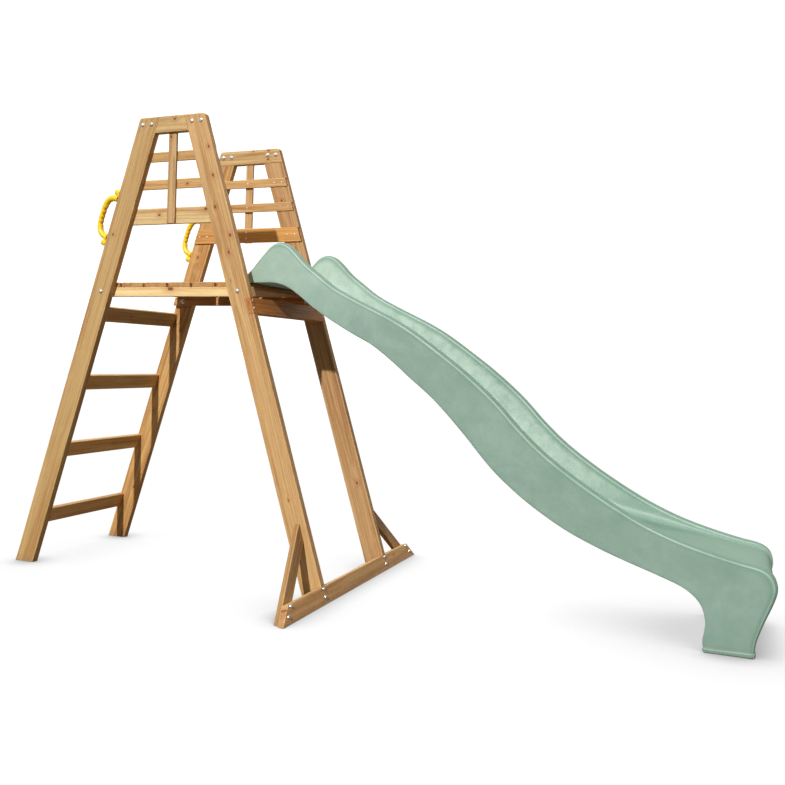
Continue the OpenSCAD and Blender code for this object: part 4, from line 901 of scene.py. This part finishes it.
it = []
for i in range(6):
    for s in (-1, 1):
        for d in (24, 78):
            k += 1
            it.append(screw_at(V3(-358 + i * 114 + d, s * (YI - 11), DECK - 0.9), (0, 0, 1), roll=k * 0.9, h=1.4))
hw("deck_screws", "deck_screws", it, ZINC2)

def PB(s, y, d=0.0):
    x, z = PS(s, d); return V3(x, y, z)
it = []
for s in (-1, 1):
    for ss in (26, 56):
        for y in (295, YO + 320 - ss - 26):
            k += 1
            def f(bm, P=PB(ss, s * y), r=k * 0.7):
                lathe_into(bm, P, NS, mm([(0, -0.3), (7.6, -0.3), (7.9, 0.3), (7.7, 0.9), (0, 0.9)]), seg=32)
                star_head(bm, P, NS, 7.0, 4.4, 0.0025, 0.0024, tail=mm([(7.0, 0.6), (6.9, 1.4), (6.4, 2.5), (5.4, 3.5), (4.2, 4.1), (3.3, 4.3)]), roll=r)
                lathe_into(bm, P, -NS, mm([(0, -0.1), (3.0, -0.1), (3.0, 34), (0, 37)]), seg=16)
            it.append(f)
hw("base_screws", "base_screws", it, ZINC)
it = []
for s in (-1, 1):
    for ss in (CS - 12, CS - 42):
        k += 1
        it.append(screw_at(PB(ss, s * 295), NS, R=4.0, roll=k * 0.6))
hw("cross_board_screws", "cross_board_screws", it, ZINC2)

it = []
for s in (-1, 1):
    for q in (-1, 1):
        sd = 1522 + q * 106
        base = Vector(((-FOOT + sd * SL) - XO, s * 295, sd * CL)) / 1000.0
        k += 1
        def f(bm, P=base + NL * 0.0211, r=k):
            star_head(bm, P, NL, 4.6, 3.0, 0.0022, 0.0018, tail=mm([(4.9, 0.0), (4.8, 1.0), (4.3, 2.1), (3.4, 2.8), (2.9, 3.0)]), roll=r)
        it.append(f)
hw("handle_screws", "handle_screws", it, ZINC)

it = []
for y in (-150, -50, 50, 150):
    def f(bm, P=V3(274, y, DECK + 10)):
        lathe_into(bm, P, (0, 0, 1), washer(9.0, 1.4), seg=36)
        star_head(bm, P + Vector((0, 0, 0.0013)), (0, 0, 1), 5.8, 3.4, 0.0020, 0.0018,
                  tail=mm([(6.0, 0.0), (5.9, 0.8), (5.4, 1.8), (4.5, 2.7), (3.4, 3.2), (3.0, 3.3)]), roll=P.y * 30)
        lathe_into(bm, P, (0, 0, -1), mm([(0, 0), (2.5, 0), (2.5, 22), (0, 26)]), seg=20)
    it.append(f)
hw("slide_screws", "slide_screws", it, ZINC)

# dowels inside the joints
BE = beech()
it = []
for i in range(4):
    z = 219 + 293 * i
    for kk in (0.28, 0.72):
        for s in (-1, 1):
            P = (OT(-xe(z), 0, z) - UPL * 65 * kk - NL * 10) / 1000.0
            def f(bm, P=P, s=s):
                lathe_into(bm, P + Vector((0, s * (YI - 24) / 1000.0, 0)), (0, s, 0), mm([(0, 0), (4.2, 0), (5, 1), (5, 42), (4.2, 43), (0, 43)]), seg=20)
            it.append(f)
o = hw("rung_dowels", "rung_dowels", it, BE); set_gc(o.data, Vector((0, 0, 0)), Y, X, Z)
it = []
for s in (-1, 1):
    P = (OT(FOOT, 0, 0) - NS * 36 + UPS * (BT - 38)) / 1000.0 + Vector((0, s * (YO - 2 - 19) / 1000.0, 0))
    it.append(lambda bm, P=P, s=s: lathe_into(bm, P, (0, s, 0), mm([(0, 0), (3.4, 0), (4, 0.8), (4, 37.2), (3.4, 38), (0, 38)]), seg=20))
o = hw("brace_dowels", "brace_dowels", it, BE); set_gc(o.data, Vector((0, 0, 0)), Y, X, Z)

# ------------------------------------------------------------------ floor, light and camera
sc = bpy.context.scene
def floor_mat():
    """pale sweep: glows near white for camera rays, with painted soft contact shadows from ambient occlusion, and only
    a weak bounce
    """
    m = Mat("floor_pale")
    m.t.nodes.remove(m.bsdf)
    n = m.noise(m.pos(), 3.0, 3)
    def ao(d):
        a = m.t.nodes.new("ShaderNodeAmbientOcclusion"); a.samples = 8; a.inputs["Distance"].default_value = d
        return a.outputs["AO"]
    near = m.lin(ao(0.10), 0.35, 1.0, 0.0, 1.0); wide = m.lin(ao(0.42), 0.40, 0.97, 0.0, 1.0)
    v = m.mul(m.lin(near, 0.0, 1.0, 0.55, 1.0), m.lin(wide, 0.0, 1.0, 0.66, 1.0))
    v = m.mul(v, m.lin(n, 0.3, 0.7, 0.997, 1.003))
    em = m.t.nodes.new("ShaderNodeEmission")
    m.put(em.inputs["Color"], m.comb(v, v, m.mul(v, 0.998))); em.inputs["Strength"].default_value = 1.03
    dim = m.t.nodes.new("ShaderNodeBsdfDiffuse"); dim.inputs["Color"].default_value = (0.15, 0.14, 0.125, 1)
    lp = m.t.nodes.new("ShaderNodeLightPath")
    mx = m.t.nodes.new("ShaderNodeMixShader")
    m.t.links.new(lp.outputs["Is Camera Ray"], mx.inputs[0])
    m.t.links.new(dim.outputs[0], mx.inputs[1]); m.t.links.new(em.outputs[0], mx.inputs[2])
    m.t.links.new(mx.outputs[0], m.out.inputs[0])
    return m.m
me = bpy.data.meshes.new("floor")
S = 60.0
me.from_pydata([(-S, -S, 0), (S, -S, 0), (S, S, 0), (-S, S, 0)], [], [(0, 1, 2, 3)])
floor = bpy.data.objects.new("floor", me); sc.collection.objects.link(floor)
me.materials.append(floor_mat())

world = bpy.data.worlds.new("studio"); sc.world = world; world.use_nodes = True
nt = world.node_tree; nt.nodes.clear()
wo = nt.nodes.new("ShaderNodeOutputWorld"); lp = nt.nodes.new("ShaderNodeLightPath")
b1 = nt.nodes.new("ShaderNodeBackground"); b1.inputs[0].default_value = (1, 1, 1, 1); b1.inputs[1].default_value = 1.25
b2 = nt.nodes.new("ShaderNodeBackground"); b2.inputs[0].default_value = (1.0, 0.92, 0.76, 1); b2.inputs[1].default_value = 0.26
b3 = nt.nodes.new("ShaderNodeBackground"); b3.inputs[0].default_value = (1, 1, 1, 1); b3.inputs[1].default_value = 0.75
m1 = nt.nodes.new("ShaderNodeMixShader"); m2 = nt.nodes.new("ShaderNodeMixShader")
tc = nt.nodes.new("ShaderNodeNewGeometry"); sx = nt.nodes.new("ShaderNodeSeparateXYZ"); nt.links.new(tc.outputs["Incoming"], sx.inputs[0])
# soft studio wall behind the object, so its back is lit too
dt = nt.nodes.new("ShaderNodeVectorMath"); dt.operation = "DOT_PRODUCT"; nt.links.new(tc.outputs["Incoming"], dt.inputs[0])
dt.inputs[1].default_value = (0.50, -0.85, -0.16)
bk = nt.nodes.new("ShaderNodeMapRange"); bk.interpolation_type = "SMOOTHSTEP"; nt.links.new(dt.outputs["Value"], bk.inputs[0])
for k, v in enumerate((0.42, 0.95, 0.31, 3.2)): bk.inputs[k + 1].default_value = v
nt.links.new(bk.outputs[0], b2.inputs[1])
# weak warm bounce from the slide side
dw = nt.nodes.new("ShaderNodeVectorMath"); dw.operation = "DOT_PRODUCT"; nt.links.new(tc.outputs["Incoming"], dw.inputs[0])
dw.inputs[1].default_value = (-0.92, 0.32, 0.23)
wk = nt.nodes.new("ShaderNodeMapRange"); wk.interpolation_type = "SMOOTHSTEP"; nt.links.new(dw.outputs["Value"], wk.inputs[0])
for k, v in enumerate((0.35, 0.95, 0.0, 0.34)): wk.inputs[k + 1].default_value = v
b4 = nt.nodes.new("ShaderNodeBackground"); b4.inputs[0].default_value = (1.0, 0.32, 0.05, 1); nt.links.new(wk.outputs[0], b4.inputs[1])
ad = nt.nodes.new("ShaderNodeAddShader"); nt.links.new(b2.outputs[0], ad.inputs[0]); nt.links.new(b4.outputs[0], ad.inputs[1])
mr = nt.nodes.new("ShaderNodeMapRange"); nt.links.new(sx.outputs[2], mr.inputs[0])
for k, v in enumerate((0.25, -0.75, 0.30, 1.25)): mr.inputs[k + 1].default_value = v
nt.links.new(mr.outputs[0], b3.inputs[1])
nt.links.new(lp.outputs["Is Glossy Ray"], m1.inputs[0]); nt.links.new(ad.outputs[0], m1.inputs[1]); nt.links.new(b3.outputs[0], m1.inputs[2])
nt.links.new(lp.outputs["Is Camera Ray"], m2.inputs[0]); nt.links.new(m1.outputs[0], m2.inputs[1]); nt.links.new(b1.outputs[0], m2.inputs[2])
nt.links.new(m2.outputs[0], wo.inputs[0])

def sun(name, direction, strength, angle, color=(1, 1, 1)):
    l = bpy.data.lights.new(name, "SUN"); l.energy = strength; l.angle = math.radians(angle); l.color = color
    o = bpy.data.objects.new(name, l); sc.collection.objects.link(o)
    o.rotation_mode = "QUATERNION"
    o.rotation_quaternion = Vector(direction).to_track_quat("-Z", "Y")
    return o
key = sun("key", (0.007, 1.0, -0.675), 3.8, 1.2, (1.0, 0.98, 0.95))

cam = bpy.data.cameras.new("camera"); cob = bpy.data.objects.new("camera", cam); sc.collection.objects.link(cob)
yaw, pitch, roll = -0.3786556, -0.0001026, 0.0290287
fwd = Vector((math.sin(yaw) * math.cos(pitch), math.cos(yaw) * math.cos(pitch), math.sin(pitch)))
rt = Vector((math.cos(yaw), -math.sin(yaw), 0)); up = rt.cross(fwd)
r2 = rt * math.cos(roll) + up * math.sin(roll); u2 = -rt * math.sin(roll) + up * math.cos(roll)
M = Matrix((r2, u2, -fwd)).transposed().to_4x4()
M.translation = Vector((2118.849 - XO, -2865.857 - 309.87, 914.252 - 10.0)) / 1000.0
cob.matrix_world = M
cam.sensor_width = 36.0; cam.lens = 866.873 * 36.0 / 785.0
cam.shift_x = (392.5 - 393.437) / 785.0; cam.shift_y = (359.953 - 392.5) / 785.0
cam.clip_start = 0.05; cam.clip_end = 200
sc.camera = cob
sc.view_settings.view_transform = "Standard"
